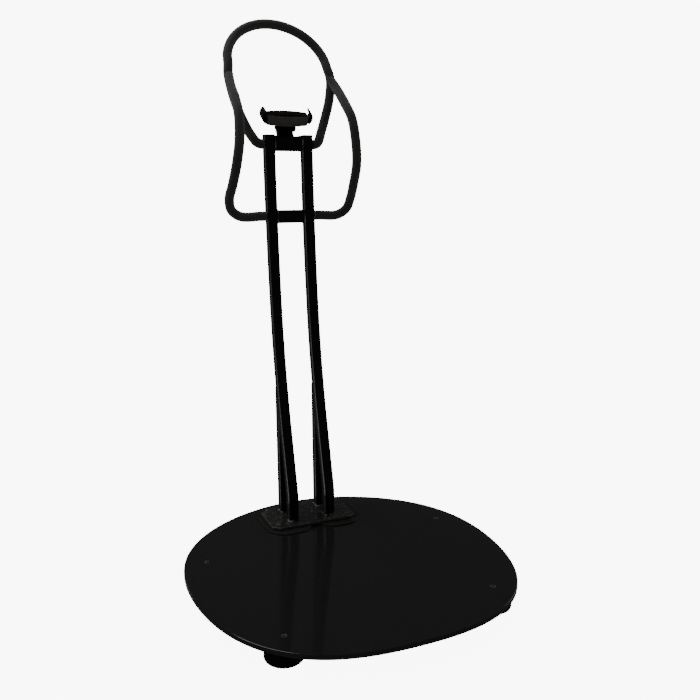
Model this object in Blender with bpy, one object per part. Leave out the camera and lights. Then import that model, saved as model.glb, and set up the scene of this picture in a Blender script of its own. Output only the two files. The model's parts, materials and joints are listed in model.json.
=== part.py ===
"""Vibration plate: a thick round board on rubber feet, a twin-tube mast, a sleeved handle and a phone holder.

Metres, +Z up, +X to the user's right, and the user stands in front of the mast, facing +Y. Every mesh is
modelled with the floor at z = 0 and the board's centre at y = 0. At the end one empty, which carries the
whole object, is moved so that the origin is the middle of the bounding box's floor.
"""

from math import atan2, ceil, cos, pi, radians, sin, tan

import bmesh
import bpy
from mathutils import Matrix, Vector

# Driving dimensions -------------------------------------------------------------------------------
GAP = 0.0003  # left between pieces that touch
SMALL_CORNER = 0.004  # of bars and flanges
MIRROR = {"left": -1, "right": 1}

BOARD_RADIUS = 0.4425
BOARD_SQUARENESS = 0.036  # how far the front corners are squared out, as a share of the radius
BOARD_THICKNESS = 0.013
BOARD_EDGE_ROUND = 0.002
BOARD_SIDES = 64

FOOT_RADIUS = 0.048
FOOT_HEIGHT = 0.044
FOOT_ROUND = 0.010
FOOT_SIDES = 20
FOOT_PLACES = {  # bearing from the mast side, and distance from the board's centre
    "rear": (0.0, 0.383),
    "side_left": (-68.2, 0.383),
    "side_right": (68.2, 0.383),
    "front_left": (-134.9, 0.397),
    "front_right": (134.9, 0.397),
}
INSERT_RADIUS = 0.009
INSERT_LENGTH = 0.020

SCREW_RADIUS = 0.004
SCREW_LENGTH = 0.030
SCREW_HEAD_RADIUS = 0.0078
SOCKET_RADIUS = 0.0029
SOCKET_DEPTH = 0.0025
RUNNING_CLEARANCE = 0.0004  # between a shank and its hole

PAD_THICKNESS = 0.004
PAD_MARGIN = 0.0155  # how far the pad shows past the foot plate's sides
PAD_FRONT_MARGIN = 0.028
PAD_NOTCH = 0.043  # half the width, and the depth, of the notch in the pad's front
PAD_LOBE = 0.062  # the rounding of a lobe
PAD_LOBE_INNER = 0.045
PAD_EDGE = 0.0012
PLATE_HALF_WIDTH = 0.131
PLATE_FRONT = 0.236
PLATE_BACK = 0.400
PLATE_THICKNESS = 0.008
PLATE_FRONT_CHAMFER = 0.019
PLATE_BACK_CHAMFER = 0.034
PLATE_CORNER = 0.003
PLATE_EDGE = 0.001
BOLT_INSET_X = 0.022
BOLT_INSET_FRONT = 0.024
BOLT_INSET_BACK = 0.028
BOLT_RADIUS = 0.004
BOLT_HEAD_RADIUS = 0.0072
BOLT_HEAD_HEIGHT = 0.0042
BACKING_WIDTH = 0.030
BACKING_THICKNESS = 0.005
NUT_RADIUS = 0.0075
NUT_HEIGHT = 0.0065
BOLT_OVERRUN = 0.002  # of a bolt past its nut

TUBE = 0.030  # side of the square tube
TUBE_WALL = 0.002
TUBE_CORNER = 0.003
BEND_STEP = 3.5  # degrees between two stations of a bent mast tube
TUBE_SPACING = 0.1156  # between the centrelines of the two mast tubes
MAST_FOOT_Y = 0.2835
MAST_RUNS = [  # length and turn in degrees; a turn above zero leans the tube away from the user
    (0.066, 0.0),
    (0.021, 14.8),
    (0.1965, 0.0),
    (0.362, -8.3),
    (0.491, -4.4),
]
STRUT_FOOT_Y = 0.3600
STRUT_LEAN = 1.3
STRUT_LENGTH = 0.390
STRUT_CAP = 0.003
STRUT_TOP_BEVEL = 0.004
CROSSBAR_HEIGHT = 0.038
CROSSBAR_DEPTH = 0.028
UPPER_CROSSBAR_DROP = 0.025  # from the tubes' ends to the bar's centre
LOWER_CROSSBAR_DROP = 0.2315
CAP_THICKNESS = 0.0025
CAP_PLUG = 0.012

HANDLE_TUBE_RADIUS = 0.0125
HANDLE_TUBE_WALL = 0.0016
SLEEVE_WALL = 0.0012
HANDLE_SIDES = 8
LOOP_TURN = 14.0  # degrees between two stations of a bent tube
SLEEVE_END = 0.002  # how far a sleeve stops short of the mast
ARCH_OVERHANG = 0.0802  # the arch's half width past the mast tubes' outer sides
ARCH_LEAN = 32.0
ARCH_CENTRE = (0.506, 1.333)  # y, and height above the board
LOOP_END_DROP = 0.0245  # from the mast tubes' ends to the loop's ends
LEG_RUN_OUT = 0.0045  # the straight end of a leg, square to the mast's side
# Points of the handle: distance out from the mast tube's outer side, y, and height above the board.
LEG_POINTS = [  # the loop from its arch down towards the mast
    (0.0842, 0.4930, 1.3030),
    (0.0752, 0.4800, 1.2450),
    (0.0582, 0.4710, 1.1910),
    (0.0387, 0.4575, 1.1451),
    (0.0278, 0.4456, 1.1240),
    (0.0222, 0.4418, 1.1165),
    (0.0138, 0.4395, 1.1118),
]
GRIP_START = (0.0832, 0.4930, 1.3030)
GRIP_POINTS = [  # a grip arm from the loop, forward, down and back
    (0.0892, 0.4550, 1.2720),
    (0.0917, 0.3980, 1.2260),
    (0.0957, 0.3560, 1.1800),
    (0.1007, 0.3405, 1.1150),
    (0.1072, 0.3490, 1.0550),
    (0.1117, 0.3820, 0.9970),
    (0.1147, 0.4120, 0.9550),
]
GRIP_BAR_DROP = 0.2290  # from the mast tubes' ends to the grip's lower bar
GRIP_CORNER = 0.044

BRACKET_X = (-0.029, 0.017)
BRACKET_FLANGE = 0.004
FLANGE_HALF_WIDTH = 0.040
FLANGE_DEPTH = 0.026
NECK_LEAN = 34.0
NECK_LENGTH = 0.036
NECK_RADIUS = 0.008
KNUCKLE_X = (-0.0135, 0.0015)
PIN_RADIUS = 0.0029
PIN_HEAD_RADIUS = 0.0055
PIN_HEAD = 0.003
KNOB_RADIUS = 0.0120
KNOB_WIDTH = 0.0125
KNOB_RIBS = 12
KNOB_RIB_DEPTH = 0.1  # of the knob's radius
KNOB_BOLT_SHARE = 0.7  # of the knob's width, taken by the bolt's end
FLANGE_SCREW_RADIUS = 0.002
FLANGE_SCREW_HEAD = 0.0036
FLANGE_SCREW_RISE = 0.0022
FLANGE_SCREW_LENGTH = 0.010

HOLDER_RECLINE = 32.0  # of the holder's face, from lying flat
HOLDER_OFFSET = 0.0135  # from the tilt axis to the back of the shell
HOLDER_CENTRE = 0.008  # from the tilt axis, up along the face
HOLDER_HALF_WIDTH = 0.0663
HOLDER_HALF_MIDDLE = 0.025
HOLDER_HALF_END = 0.016
HOLDER_CORNER = 0.005
SHELL_DEPTH = 0.021
SHELL_WALL = 0.0022
SHELL_EDGE = 0.0008  # chamfer of the shell's and the panel's edges
COVER_THICKNESS = 0.003
LIP_THICKNESS = 0.0035
LIP_END_INSET = 0.0049  # from the shell's side to the end of the lip
LIP_DEPTH = 0.030
ARM_WIDTH = 0.0070
ARM_THICKNESS = 0.0026
ARM_REACH = 0.030  # how far an arm runs past the middle
ARM_FLOOR = 0.0012  # under the arms, above the shell's floor
SLIDE_CLEARANCE = 0.0004
JAW_HALF_HEIGHT = 0.0175
JAW_WALL = 0.0035
JAW_CLEARANCE = 0.0005  # from the shell's side to the root of the jaw
JAW_BULGE = 0.0105
JAW_BOW_FROM = 0.12  # the part of a half sine wave that the jaw's wall follows
JAW_BOW_TO = 0.86
JAW_RISE = 0.034
PAD_WALL = 0.0014
PAD_HEIGHT_SHARE = 0.85  # of the jaw's height
PAD_FOOT_CLEARANCE = 0.002
PAD_RIB_HEIGHT = 0.0010
TOOTH_MODULE = 0.001
PINION_TEETH = 10
TOOTH_SLACK = 0.00026
TOOTH_TIP = 0.8 * TOOTH_MODULE  # above the pitch line
TOOTH_ROOT = 1.2 * TOOTH_MODULE  # below it
PINION_TOOTH = [  # height from the pitch circle, and half the tooth's width there
    (-TOOTH_ROOT, 0.92 * TOOTH_MODULE),
    (0.0, 0.54 * TOOTH_MODULE),
    (TOOTH_TIP, 0.24 * TOOTH_MODULE),
]
PINION_HEIGHT = 0.0026
PINION_BORE = 0.0016
POST_RADIUS = 0.0013
SPRING_TURNS = 2.5
SPRING_STRIP = 0.0005
SPRING_HEIGHT = 0.0016
COVER_SCREW_INSET = 0.0143  # from the shell's side to a panel screw
COVER_SCREW_RADIUS = 0.0012
COVER_SCREW_HEAD = 0.0022
COVER_SCREW_LENGTH = 0.0120
BOSS_RADIUS = 0.0030

# Worked out from them -----------------------------------------------------------------------------
BOARD_BOTTOM = FOOT_HEIGHT + GAP
BOARD_TOP = BOARD_BOTTOM + BOARD_THICKNESS
PAD_BOTTOM = BOARD_TOP + GAP
PAD_TOP = PAD_BOTTOM + PAD_THICKNESS
PLATE_BOTTOM = PAD_TOP + GAP
PLATE_TOP = PLATE_BOTTOM + PLATE_THICKNESS
TUBE_FOOT = PLATE_TOP + GAP
MAST_X = TUBE_SPACING / 2
MAST_SIDE = MAST_X + TUBE / 2
BOLT_X = PLATE_HALF_WIDTH - BOLT_INSET_X
BOLT_YS = {"front": PLATE_FRONT + BOLT_INSET_FRONT, "rear": PLATE_BACK - BOLT_INSET_BACK}
PITCH_RADIUS = TOOTH_MODULE * PINION_TEETH / 2
SHELL_BACK = HOLDER_OFFSET
SHELL_FRONT = SHELL_BACK + SHELL_DEPTH
SHELL_FLOOR = SHELL_BACK + SHELL_WALL
COVER_BACK = SHELL_FRONT + GAP
COVER_FRONT = COVER_BACK + COVER_THICKNESS
ARM_BACK = SHELL_FLOOR + ARM_FLOOR
ARCH_RADIUS = MAST_SIDE + ARCH_OVERHANG
LIP_HALF_WIDTH = HOLDER_HALF_WIDTH - LIP_END_INSET
COVER_SCREW_X = HOLDER_HALF_WIDTH - COVER_SCREW_INSET
SLEEVE_RADIUS = HANDLE_TUBE_RADIUS + GAP + SLEEVE_WALL


# Scene, materials and nodes -----------------------------------------------------------------------
def clear_scene():
    for thing in list(bpy.data.objects):
        bpy.data.objects.remove(thing, do_unlink=True)


def material(name, colour, roughness, metallic=0.0):
    found = bpy.data.materials.get(name)
    if found:
        return found
    made = bpy.data.materials.new(name)
    made.use_nodes = True
    shader = made.node_tree.nodes["Principled BSDF"]
    shader.inputs["Base Color"].default_value = (*colour, 1.0)
    shader.inputs["Roughness"].default_value = roughness
    shader.inputs["Metallic"].default_value = metallic
    return made


def gloss_board():
    return material("gloss_board", (0.010, 0.010, 0.011), 0.12)


def black_enamel():
    return material("black_enamel", (0.012, 0.012, 0.013), 0.22)


def plate_enamel():
    return material("plate_enamel", (0.055, 0.051, 0.050), 0.40)


def black_rubber():
    return material("black_rubber", (0.012, 0.012, 0.012), 0.80)


def grey_rubber():
    return material("grey_rubber", (0.055, 0.048, 0.045), 0.55)


def woven_sleeve():
    return material("woven_sleeve", (0.030, 0.030, 0.028), 0.85)


def black_plastic():
    return material("black_plastic", (0.014, 0.014, 0.014), 0.45)


def gloss_plastic():
    return material("gloss_plastic", (0.006, 0.006, 0.007), 0.10)


def lip_rubber():
    return material("lip_rubber", (0.080, 0.078, 0.072), 0.50)


def dark_steel():
    return material("dark_steel", (0.10, 0.10, 0.105), 0.35, 1.0)


def bright_steel():
    return material("bright_steel", (0.55, 0.55, 0.56), 0.30, 1.0)


def node(name, shape, look, parent, smooth_angle=30.0):
    """Turns a bmesh into a named object with one material, under its parent."""
    bmesh.ops.recalc_face_normals(shape, faces=shape.faces)
    mesh = bpy.data.meshes.new(name)
    shape.to_mesh(mesh)
    shape.free()
    mesh.materials.append(look)
    mesh.shade_smooth()
    mesh.set_sharp_from_angle(angle=radians(smooth_angle))
    made = bpy.data.objects.new(name, mesh)
    bpy.context.scene.collection.objects.link(made)
    made.parent = parent
    return made


def pivot(name, place, parent=None, tilt=0.0):
    """An empty, for a joint's axis or for a frame that several pieces share."""
    made = bpy.data.objects.new(name, None)
    bpy.context.scene.collection.objects.link(made)
    made.parent = parent
    made.location = place
    made.rotation_euler = (tilt, 0.0, 0.0)
    return made


def boolean(target, shapes, operation="DIFFERENCE"):
    """Adds one Boolean for each of the shapes, which stay in the scene as hidden guides."""
    for shape in shapes:
        name = f"guide_{target.name}_{len(target.modifiers)}"
        guide = node(name, shape, target.data.materials[0], target.parent)
        guide.hide_render = True
        guide.display_type = "WIRE"
        cut = target.modifiers.new("cut", "BOOLEAN")
        cut.operation = operation
        cut.solver = "EXACT"
        cut.object = guide


# Shapes -------------------------------------------------------------------------------------------
def rounded(corners, step=15.0):
    """A closed outline from (x, y, radius) corners, each radius drawn as an arc of short chords."""
    outline = []
    for i, (x, y, radius) in enumerate(corners):
        here = Vector((x, y))
        if radius == 0.0:
            outline.append(here)
            continue
        before = (Vector(corners[i - 1][:2]) - here).normalized()
        after = (Vector(corners[(i + 1) % len(corners)][:2]) - here).normalized()
        half = before.angle(after) / 2
        centre = here + (before + after).normalized() * (radius / sin(half))
        start = here + before * (radius / tan(half)) - centre
        end = here + after * (radius / tan(half)) - centre
        sweep = (atan2(end.y, end.x) - atan2(start.y, start.x) + pi) % (2 * pi) - pi
        chords = max(1, ceil(abs(sweep) / radians(step)))
        for k in range(chords + 1):
            turned = Matrix.Rotation(sweep * k / chords, 2) @ start
            outline.append(centre + turned)
    return outline


def mirrored(corners):
    """A whole outline from the corners of its left half, listed from the bottom middle to the top middle."""
    return corners + [(-x, y, radius) for x, y, radius in reversed(corners) if x != 0.0]


def loft(rings, closed=False):
    """A solid skinned over rings of points, capped at both ends or, when closed, joined end to end."""
    shape = bmesh.new()
    made = [[shape.verts.new(point) for point in ring] for ring in rings]
    pairs = list(zip(made, made[1:] + made[:1] if closed else made[1:]))
    for one, other in pairs:
        for i in range(len(one)):
            j = (i + 1) % len(one)
            shape.faces.new((one[i], one[j], other[j], other[i]))
    if not closed:
        shape.faces.new(made[0])
        shape.faces.new(made[-1])
    return shape


def prism(outline, low, high, edge=0.0):
    """An outline in x and y raised from low to high, with its top and bottom edges chamfered by edge."""
    middle = sum(outline, Vector((0, 0))) / len(outline)
    inner = [point + (middle - point).normalized() * edge for point in outline] if edge else outline
    levels = [(low, inner), (low + edge, outline), (high - edge, outline), (high, inner)]
    if not edge:
        levels = [(low, outline), (high, outline)]
    return loft([[(*point, z) for point in points] for z, points in levels])


def along_x(outline, low, high):
    """An outline in y and z, extruded from x = low to x = high."""
    return loft([[(x, *point) for point in outline] for x in (low, high)])


def along_y(outline, low, high):
    """An outline in x and z, extruded from y = low to y = high."""
    return loft([[(point[0], y, point[1]) for point in outline] for y in (low, high)])


def box(low, high):
    x0, y0, z0 = low
    x1, y1, z1 = high
    return loft([[(x0, y0, z), (x1, y0, z), (x1, y1, z), (x0, y1, z)] for z in (z0, z1)])


def circle(radius, sides, centre=(0.0, 0.0), turn=0.0):
    angles = [turn + 2 * pi * i / sides for i in range(sides)]
    return [Vector((centre[0] + radius * cos(a), centre[1] + radius * sin(a))) for a in angles]


def turned(profile, sides=24, centre=(0.0, 0.0)):
    """A solid of revolution about a vertical axis. A profile that comes back to its start leaves a bore."""
    bored = profile[0] == profile[-1]
    rings = [[(*point, z) for point in circle(radius, sides, centre)] for radius, z in profile]
    return loft(rings[:-1] if bored else rings, closed=bored)


def rod_x(radius, low, high, centre, sides=16):
    return along_x(circle(radius, sides, centre), low, high)


# Bent tubes ---------------------------------------------------------------------------------------
def planar_run(start_y, start_z, runs, x=0.0, heading=0.0):
    """Points of a bent tube's centreline in the y-z plane, from straight runs and arcs, with its lean."""
    y, z, lean = start_y, start_z, radians(heading)
    points, leans = [Vector((x, y, z))], [lean]
    for length, turn in runs:
        pieces = max(1, ceil(abs(turn) / BEND_STEP))
        for _ in range(pieces):
            middle = lean + radians(turn) / pieces / 2
            y += length / pieces * sin(middle)
            z += length / pieces * cos(middle)
            lean += radians(turn) / pieces
            points.append(Vector((x, y, z)))
            leans.append(lean)
    return points, leans


def square_section(side, corner):
    half = side / 2
    corners = [(-half, -half), (half, -half), (half, half), (-half, half)]
    return rounded([(x, y, corner) for x, y in corners], 45.0)


def planar_rings(section, points, leans):
    """The section stood across each point, with its first axis along x."""
    rings = []
    for point, lean in zip(points, leans):
        across = Vector((0.0, cos(lean), -sin(lean)))
        rings.append([point + Vector((a, 0.0, 0.0)) + across * b for a, b in section])
    return rings


def hollow(outer, inner, capped=False):
    """A tube from its outer and inner rings, open at both ends, or closed at its far end when capped."""
    shape = bmesh.new()
    outside = [[shape.verts.new(point) for point in ring] for ring in outer]
    inside = [[shape.verts.new(point) for point in ring] for ring in inner]
    count = len(outside[0])
    for skin in (outside, inside):
        for one, other in zip(skin, skin[1:]):
            for i in range(count):
                j = (i + 1) % count
                shape.faces.new((one[i], one[j], other[j], other[i]))
    ends = [(outside[0], inside[0])] if capped else [(outside[0], inside[0]), (outside[-1], inside[-1])]
    for one, other in ends:
        for i in range(count):
            j = (i + 1) % count
            shape.faces.new((one[i], one[j], other[j], other[i]))
    if capped:
        shape.faces.new(outside[-1])
        shape.faces.new(inside[-1])
    return shape


def smooth_path(points, turn):
    """A rounded path through the points, as short chords with about the same turn between them."""
    ends = [points[0] * 2 - points[1], *points, points[-1] * 2 - points[-2]]
    fine = []
    for a, b, c, d in zip(ends, ends[1:], ends[2:], ends[3:]):
        ta, tb = (b - a).length ** 0.5, (c - b).length ** 0.5
        tc = (d - c).length ** 0.5
        leave = ((b - a) / ta - (c - a) / (ta + tb) + (c - b) / tb) * tb
        arrive = ((c - b) / tb - (d - b) / (tb + tc) + (d - c) / tc) * tb
        for k in range(12):
            t = k / 12
            fine.append(
                b * (2 * t**3 - 3 * t**2 + 1)
                + leave * (t**3 - 2 * t**2 + t)
                + c * (3 * t**2 - 2 * t**3)
                + arrive * (t**3 - t**2)
            )
    fine.append(points[-1])
    kept = [fine[0]]
    turned_by = 0.0
    run_outs = (12, len(fine) - 13)  # the straight pieces at both ends stay straight
    for i, (before, here, after) in enumerate(zip(fine, fine[1:], fine[2:]), 1):
        turned_by += (here - before).angle(after - here)
        if i in run_outs or turned_by >= radians(turn) or (after - kept[-1]).length > 0.06:
            kept.append(here)
            turned_by = 0.0
    kept.append(fine[-1])
    return kept


def round_rings(path, radius, sides):
    """Circles across a path that bends in space, carried along it without twisting."""
    rings = []
    side = None
    for i, point in enumerate(path):
        back = path[max(i - 1, 0)]
        ahead = path[min(i + 1, len(path) - 1)]
        forward = (ahead - back).normalized()
        if side is None:
            side = forward.orthogonal().normalized()
        side = (side - forward * side.dot(forward)).normalized()
        up = forward.cross(side)
        rings.append([point + side * a + up * b for a, b in circle(radius, sides)])
    return rings


def shortened(path, start, end):
    """The path with its first and last points moved inwards by these lengths."""
    kept = [point.copy() for point in path]
    kept[0] += (path[1] - path[0]).normalized() * start
    kept[-1] += (path[-2] - path[-1]).normalized() * end
    return kept


# Board and feet -----------------------------------------------------------------------------------
def foot_centre(place):
    bearing, distance = FOOT_PLACES[place]
    return distance * sin(radians(bearing)), distance * cos(radians(bearing))


def board_radius(bearing):
    """Round at the mast and squared out towards the front corners."""
    squareness = BOARD_SQUARENESS * (1 - cos(bearing)) / 2
    return BOARD_RADIUS * (1 - squareness * cos(4 * bearing))


def board_outline(inset=0.0, sides=BOARD_SIDES):
    outline = []
    for i in range(sides):
        bearing = 2 * pi * i / sides
        radius = board_radius(bearing) - inset
        outline.append((radius * sin(bearing), radius * cos(bearing)))
    return outline


def countersunk(top, centre, shank, head, length, grow=0.0, sides=12):
    """A countersunk screw's shape with its head's top at top; grow turns it into the hole that takes it."""
    rim = top + grow
    neck = top - (head - shank)
    profile = [(head + grow, rim), (shank + grow, neck), (shank + grow, top - length - grow)]
    return turned(profile, sides, centre)


def deck_board(root):
    rows = [
        (BOARD_BOTTOM, BOARD_EDGE_ROUND),
        (BOARD_BOTTOM + BOARD_EDGE_ROUND, 0.0),
        (BOARD_TOP - BOARD_EDGE_ROUND, 0.0),
        (BOARD_TOP, BOARD_EDGE_ROUND),
    ]
    shape = loft([[(*point, z) for point in board_outline(inset)] for z, inset in rows])
    board = node("deck_board", shape, gloss_board(), root)
    holes = []
    for place in FOOT_PLACES:
        centre = foot_centre(place)
        holes.append(
            countersunk(BOARD_TOP, centre, SCREW_RADIUS, SCREW_HEAD_RADIUS, SCREW_LENGTH, RUNNING_CLEARANCE)
        )
    for centre in bolt_centres().values():
        low, high = BOARD_BOTTOM - PLATE_THICKNESS, BOARD_TOP + PLATE_THICKNESS
        holes.append(prism(circle(BOLT_RADIUS + RUNNING_CLEARANCE, 12, centre), low, high))
    boolean(board, holes)


def rubber_foot(place, root):
    """A rubber foot with a rounded lower rim and a pocket for its threaded insert."""
    pocket_radius = INSERT_RADIUS + GAP
    pocket_floor = FOOT_HEIGHT - INSERT_LENGTH - 2 * GAP
    bore = SCREW_RADIUS + 2 * RUNNING_CLEARANCE
    bore_floor = BOARD_TOP - SCREW_LENGTH - 2 * RUNNING_CLEARANCE - GAP
    outer = FOOT_RADIUS - FOOT_ROUND
    rim = [
        (outer + FOOT_ROUND * sin(a), FOOT_ROUND * (1 - cos(a)))
        for a in (radians(30 * k) for k in range(1, 4))
    ]
    profile = [(outer, 0.0), *rim, (FOOT_RADIUS, FOOT_HEIGHT - 0.001), (FOOT_RADIUS - 0.001, FOOT_HEIGHT)]
    profile += [(pocket_radius, FOOT_HEIGHT), (pocket_radius, pocket_floor)]
    profile += [(bore, pocket_floor), (bore, min(bore_floor, pocket_floor - 0.001))]
    return node(f"foot_{place}", turned(profile, FOOT_SIDES, foot_centre(place)), black_rubber(), root)


def foot_insert(place, root):
    """The steel bush moulded into a foot, which its screw threads into."""
    bore = SCREW_RADIUS + RUNNING_CLEARANCE
    top = FOOT_HEIGHT - GAP
    bottom = top - INSERT_LENGTH
    waist = INSERT_RADIUS - 0.0012
    profile = [
        (bore, bottom),
        (INSERT_RADIUS, bottom),
        (INSERT_RADIUS, bottom + INSERT_LENGTH / 3),
        (waist, bottom + INSERT_LENGTH / 2),
        (INSERT_RADIUS, bottom + INSERT_LENGTH * 2 / 3),
        (INSERT_RADIUS, top),
        (bore, top),
        (bore, bottom),
    ]
    return node(f"foot_insert_{place}", turned(profile, 12, foot_centre(place)), bright_steel(), root)


def foot_screw(place, root):
    centre = foot_centre(place)
    shape = countersunk(BOARD_TOP, centre, SCREW_RADIUS, SCREW_HEAD_RADIUS, SCREW_LENGTH)
    screw = node(f"foot_screw_{place}", shape, dark_steel(), root)
    socket = prism(circle(SOCKET_RADIUS, 6, centre), BOARD_TOP - SOCKET_DEPTH, BOARD_TOP + SOCKET_DEPTH)
    boolean(screw, [socket])


# Mast foot ----------------------------------------------------------------------------------------
def bolt_centres():
    return {
        f"{row}_{side}": (sign * BOLT_X, y)
        for row, y in BOLT_YS.items()
        for side, sign in MIRROR.items()
    }


def mast_pad(root):
    """A two-lobed rubber pad that shows all round the foot plate, notched in the middle of its front."""
    side = PLATE_HALF_WIDTH + PAD_MARGIN
    front = PLATE_FRONT - PAD_FRONT_MARGIN
    back = PLATE_BACK + PAD_MARGIN
    half = [
        (0.0, front + PAD_NOTCH, 0.012),
        (-PAD_NOTCH, front, PAD_LOBE_INNER),
        (-side, front, PAD_LOBE),
        (-side, back, PAD_LOBE),
    ]
    shape = prism(rounded(mirrored(half), 20.0), PAD_BOTTOM, PAD_TOP, PAD_EDGE)
    pad = node("mast_pad", shape, grey_rubber(), root)
    boolean(pad, bolt_holes(PAD_BOTTOM, PAD_TOP))


def bolt_holes(low, high):
    radius = BOLT_RADIUS + RUNNING_CLEARANCE
    reach = BOLT_RADIUS
    centres = bolt_centres().values()
    return [prism(circle(radius, 12, centre), low - reach, high + reach) for centre in centres]


def mast_foot_plate(root):
    side, front, back = PLATE_HALF_WIDTH, PLATE_FRONT, PLATE_BACK
    half = [
        (-side + PLATE_FRONT_CHAMFER, front, PLATE_CORNER),
        (-side, front + PLATE_FRONT_CHAMFER * 0.8, PLATE_CORNER),
        (-side, back - PLATE_BACK_CHAMFER, PLATE_CORNER),
        (-side + PLATE_BACK_CHAMFER, back, PLATE_CORNER),
    ]
    shape = prism(rounded(mirrored(half), 45.0), PLATE_BOTTOM, PLATE_TOP, PLATE_EDGE)
    boolean(node("mast_foot_plate", shape, plate_enamel(), root), bolt_holes(PLATE_BOTTOM, PLATE_TOP))


def mast_bolt(place, centre, root):
    """A button-head bolt from the plate down through the pad, the board and the backing bar."""
    head = PLATE_TOP + GAP
    end = BOARD_BOTTOM - 3 * GAP - BACKING_THICKNESS - NUT_HEIGHT - BOLT_OVERRUN
    profile = [
        (BOLT_HEAD_RADIUS * 0.55, head + BOLT_HEAD_HEIGHT),
        (BOLT_HEAD_RADIUS, head + BOLT_HEAD_HEIGHT * 0.3),
        (BOLT_HEAD_RADIUS, head),
        (BOLT_RADIUS, head),
        (BOLT_RADIUS, end),
    ]
    bolt = node(f"mast_bolt_{place}", turned(profile, 12, centre), dark_steel(), root)
    top = head + BOLT_HEAD_HEIGHT
    boolean(bolt, [prism(circle(BOLT_RADIUS * 0.6, 6, centre), top - SOCKET_DEPTH, top + SOCKET_DEPTH)])


def backing_bar(side, sign, root):
    """A steel bar under the board that spreads the load of the two bolts on its side."""
    top = BOARD_BOTTOM - GAP
    x = sign * BOLT_X
    y0 = BOLT_YS["front"] - BACKING_WIDTH / 2
    y1 = BOLT_YS["rear"] + BACKING_WIDTH / 2
    half = BACKING_WIDTH / 2
    places = ((x - half, y0), (x + half, y0), (x + half, y1), (x - half, y1))
    corners = [(a, b, SMALL_CORNER) for a, b in places]
    low = top - BACKING_THICKNESS
    bar = node(f"backing_bar_{side}", prism(rounded(corners, 45.0), low, top), bright_steel(), root)
    radius = BOLT_RADIUS + RUNNING_CLEARANCE
    boolean(bar, [prism(circle(radius, 12, (x, y)), low - radius, top + radius) for y in BOLT_YS.values()])


def mast_nut(place, centre, root):
    top = BOARD_BOTTOM - BACKING_THICKNESS - 2 * GAP
    low = top - NUT_HEIGHT
    bore = circle((BOLT_RADIUS + RUNNING_CLEARANCE) / cos(pi / 6), 6, centre)
    outer = circle(NUT_RADIUS, 6, centre)
    levels = [(bore, low), (outer, low), (outer, top), (bore, top)]
    rings = [[(*point, z) for point in outline] for outline, z in levels]
    node(f"mast_nut_{place}", loft(rings, closed=True), bright_steel(), root)


# Mast ---------------------------------------------------------------------------------------------
def mast_line(x=0.0):
    return planar_run(MAST_FOOT_Y, TUBE_FOOT, MAST_RUNS, x)


def mast_at(drop):
    """The mast centreline's y, z and lean, this far below the tubes' upper ends."""
    points, leans = mast_line()
    target = points[-1].z - drop
    for low, high, lean in zip(points, points[1:], leans):
        if low.z <= target <= high.z:
            share = (target - low.z) / (high.z - low.z)
            return low.y + (high.y - low.y) * share, target, lean
    return points[-1].y, target, leans[-1]


def mast_tube(side, sign, root):
    points, leans = mast_line(sign * MAST_X)
    outer = planar_rings(square_section(TUBE, TUBE_CORNER), points, leans)
    inner = planar_rings(square_section(TUBE - 2 * TUBE_WALL, TUBE_CORNER - TUBE_WALL), points, leans)
    node(f"mast_tube_{side}", hollow(outer, inner), black_enamel(), root)


def mast_envelope(sign):
    """The outside of a mast tube, grown by the gap, for pieces that are coped against it."""
    points, leans = mast_line(sign * MAST_X)
    return loft(planar_rings(square_section(TUBE + 2 * GAP, TUBE_CORNER), points, leans))


def mast_strut(side, sign, root):
    """A shorter tube behind the mast tube, coped where the leaning tube meets it and closed at its top."""
    section = square_section(TUBE, TUBE_CORNER)
    bore = square_section(TUBE - 2 * TUBE_WALL, TUBE_CORNER - TUBE_WALL)
    run = [(STRUT_LENGTH - STRUT_TOP_BEVEL, 0.0), (STRUT_TOP_BEVEL, 0.0)]
    foot = TUBE_FOOT + TUBE / 2 * sin(radians(STRUT_LEAN))
    points, leans = planar_run(STRUT_FOOT_Y, foot, run, sign * MAST_X, STRUT_LEAN)
    outer = planar_rings(section, points, leans)
    top = square_section(TUBE - 2 * STRUT_TOP_BEVEL, TUBE_CORNER)
    outer[-1] = planar_rings(top, points, leans)[-1]
    inner_points, inner_leans = planar_run(
        STRUT_FOOT_Y, foot, [(STRUT_LENGTH - STRUT_CAP, 0.0)], sign * MAST_X, STRUT_LEAN
    )
    middle = (inner_points[0] + inner_points[1]) / 2
    inner = planar_rings(bore, [inner_points[0], middle, inner_points[1]], [inner_leans[0]] * 3)
    strut = node(f"mast_strut_{side}", hollow(outer, inner, capped=True), black_enamel(), root)
    boolean(strut, [mast_envelope(sign)])


def crossbar(name, drop, lean_with_mast, root):
    """A bar between the two mast tubes, its ends coped to their inner sides."""
    y, z, lean = mast_at(drop)
    lean = lean if lean_with_mast else 0.0
    corners = [(-CROSSBAR_DEPTH / 2, -CROSSBAR_HEIGHT / 2), (CROSSBAR_DEPTH / 2, -CROSSBAR_HEIGHT / 2)]
    corners += [(-a, -b) for a, b in corners]
    outline = [
        Vector((y + a * cos(lean) + b * sin(lean), z - a * sin(lean) + b * cos(lean)))
        for a, b in rounded([(a, b, TUBE_CORNER) for a, b in corners], 45.0)
    ]
    middle = Vector((y, z))
    bore = [middle + (point - middle) * (1 - 2 * TUBE_WALL / CROSSBAR_DEPTH) for point in outline]
    end = MAST_X - TUBE / 2 - GAP
    outer = [[(x, *point) for point in outline] for x in (-end, end)]
    inner = [[(x, *point) for point in bore] for x in (-end, end)]
    return node(name, hollow(outer, inner), black_enamel(), root)


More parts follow.
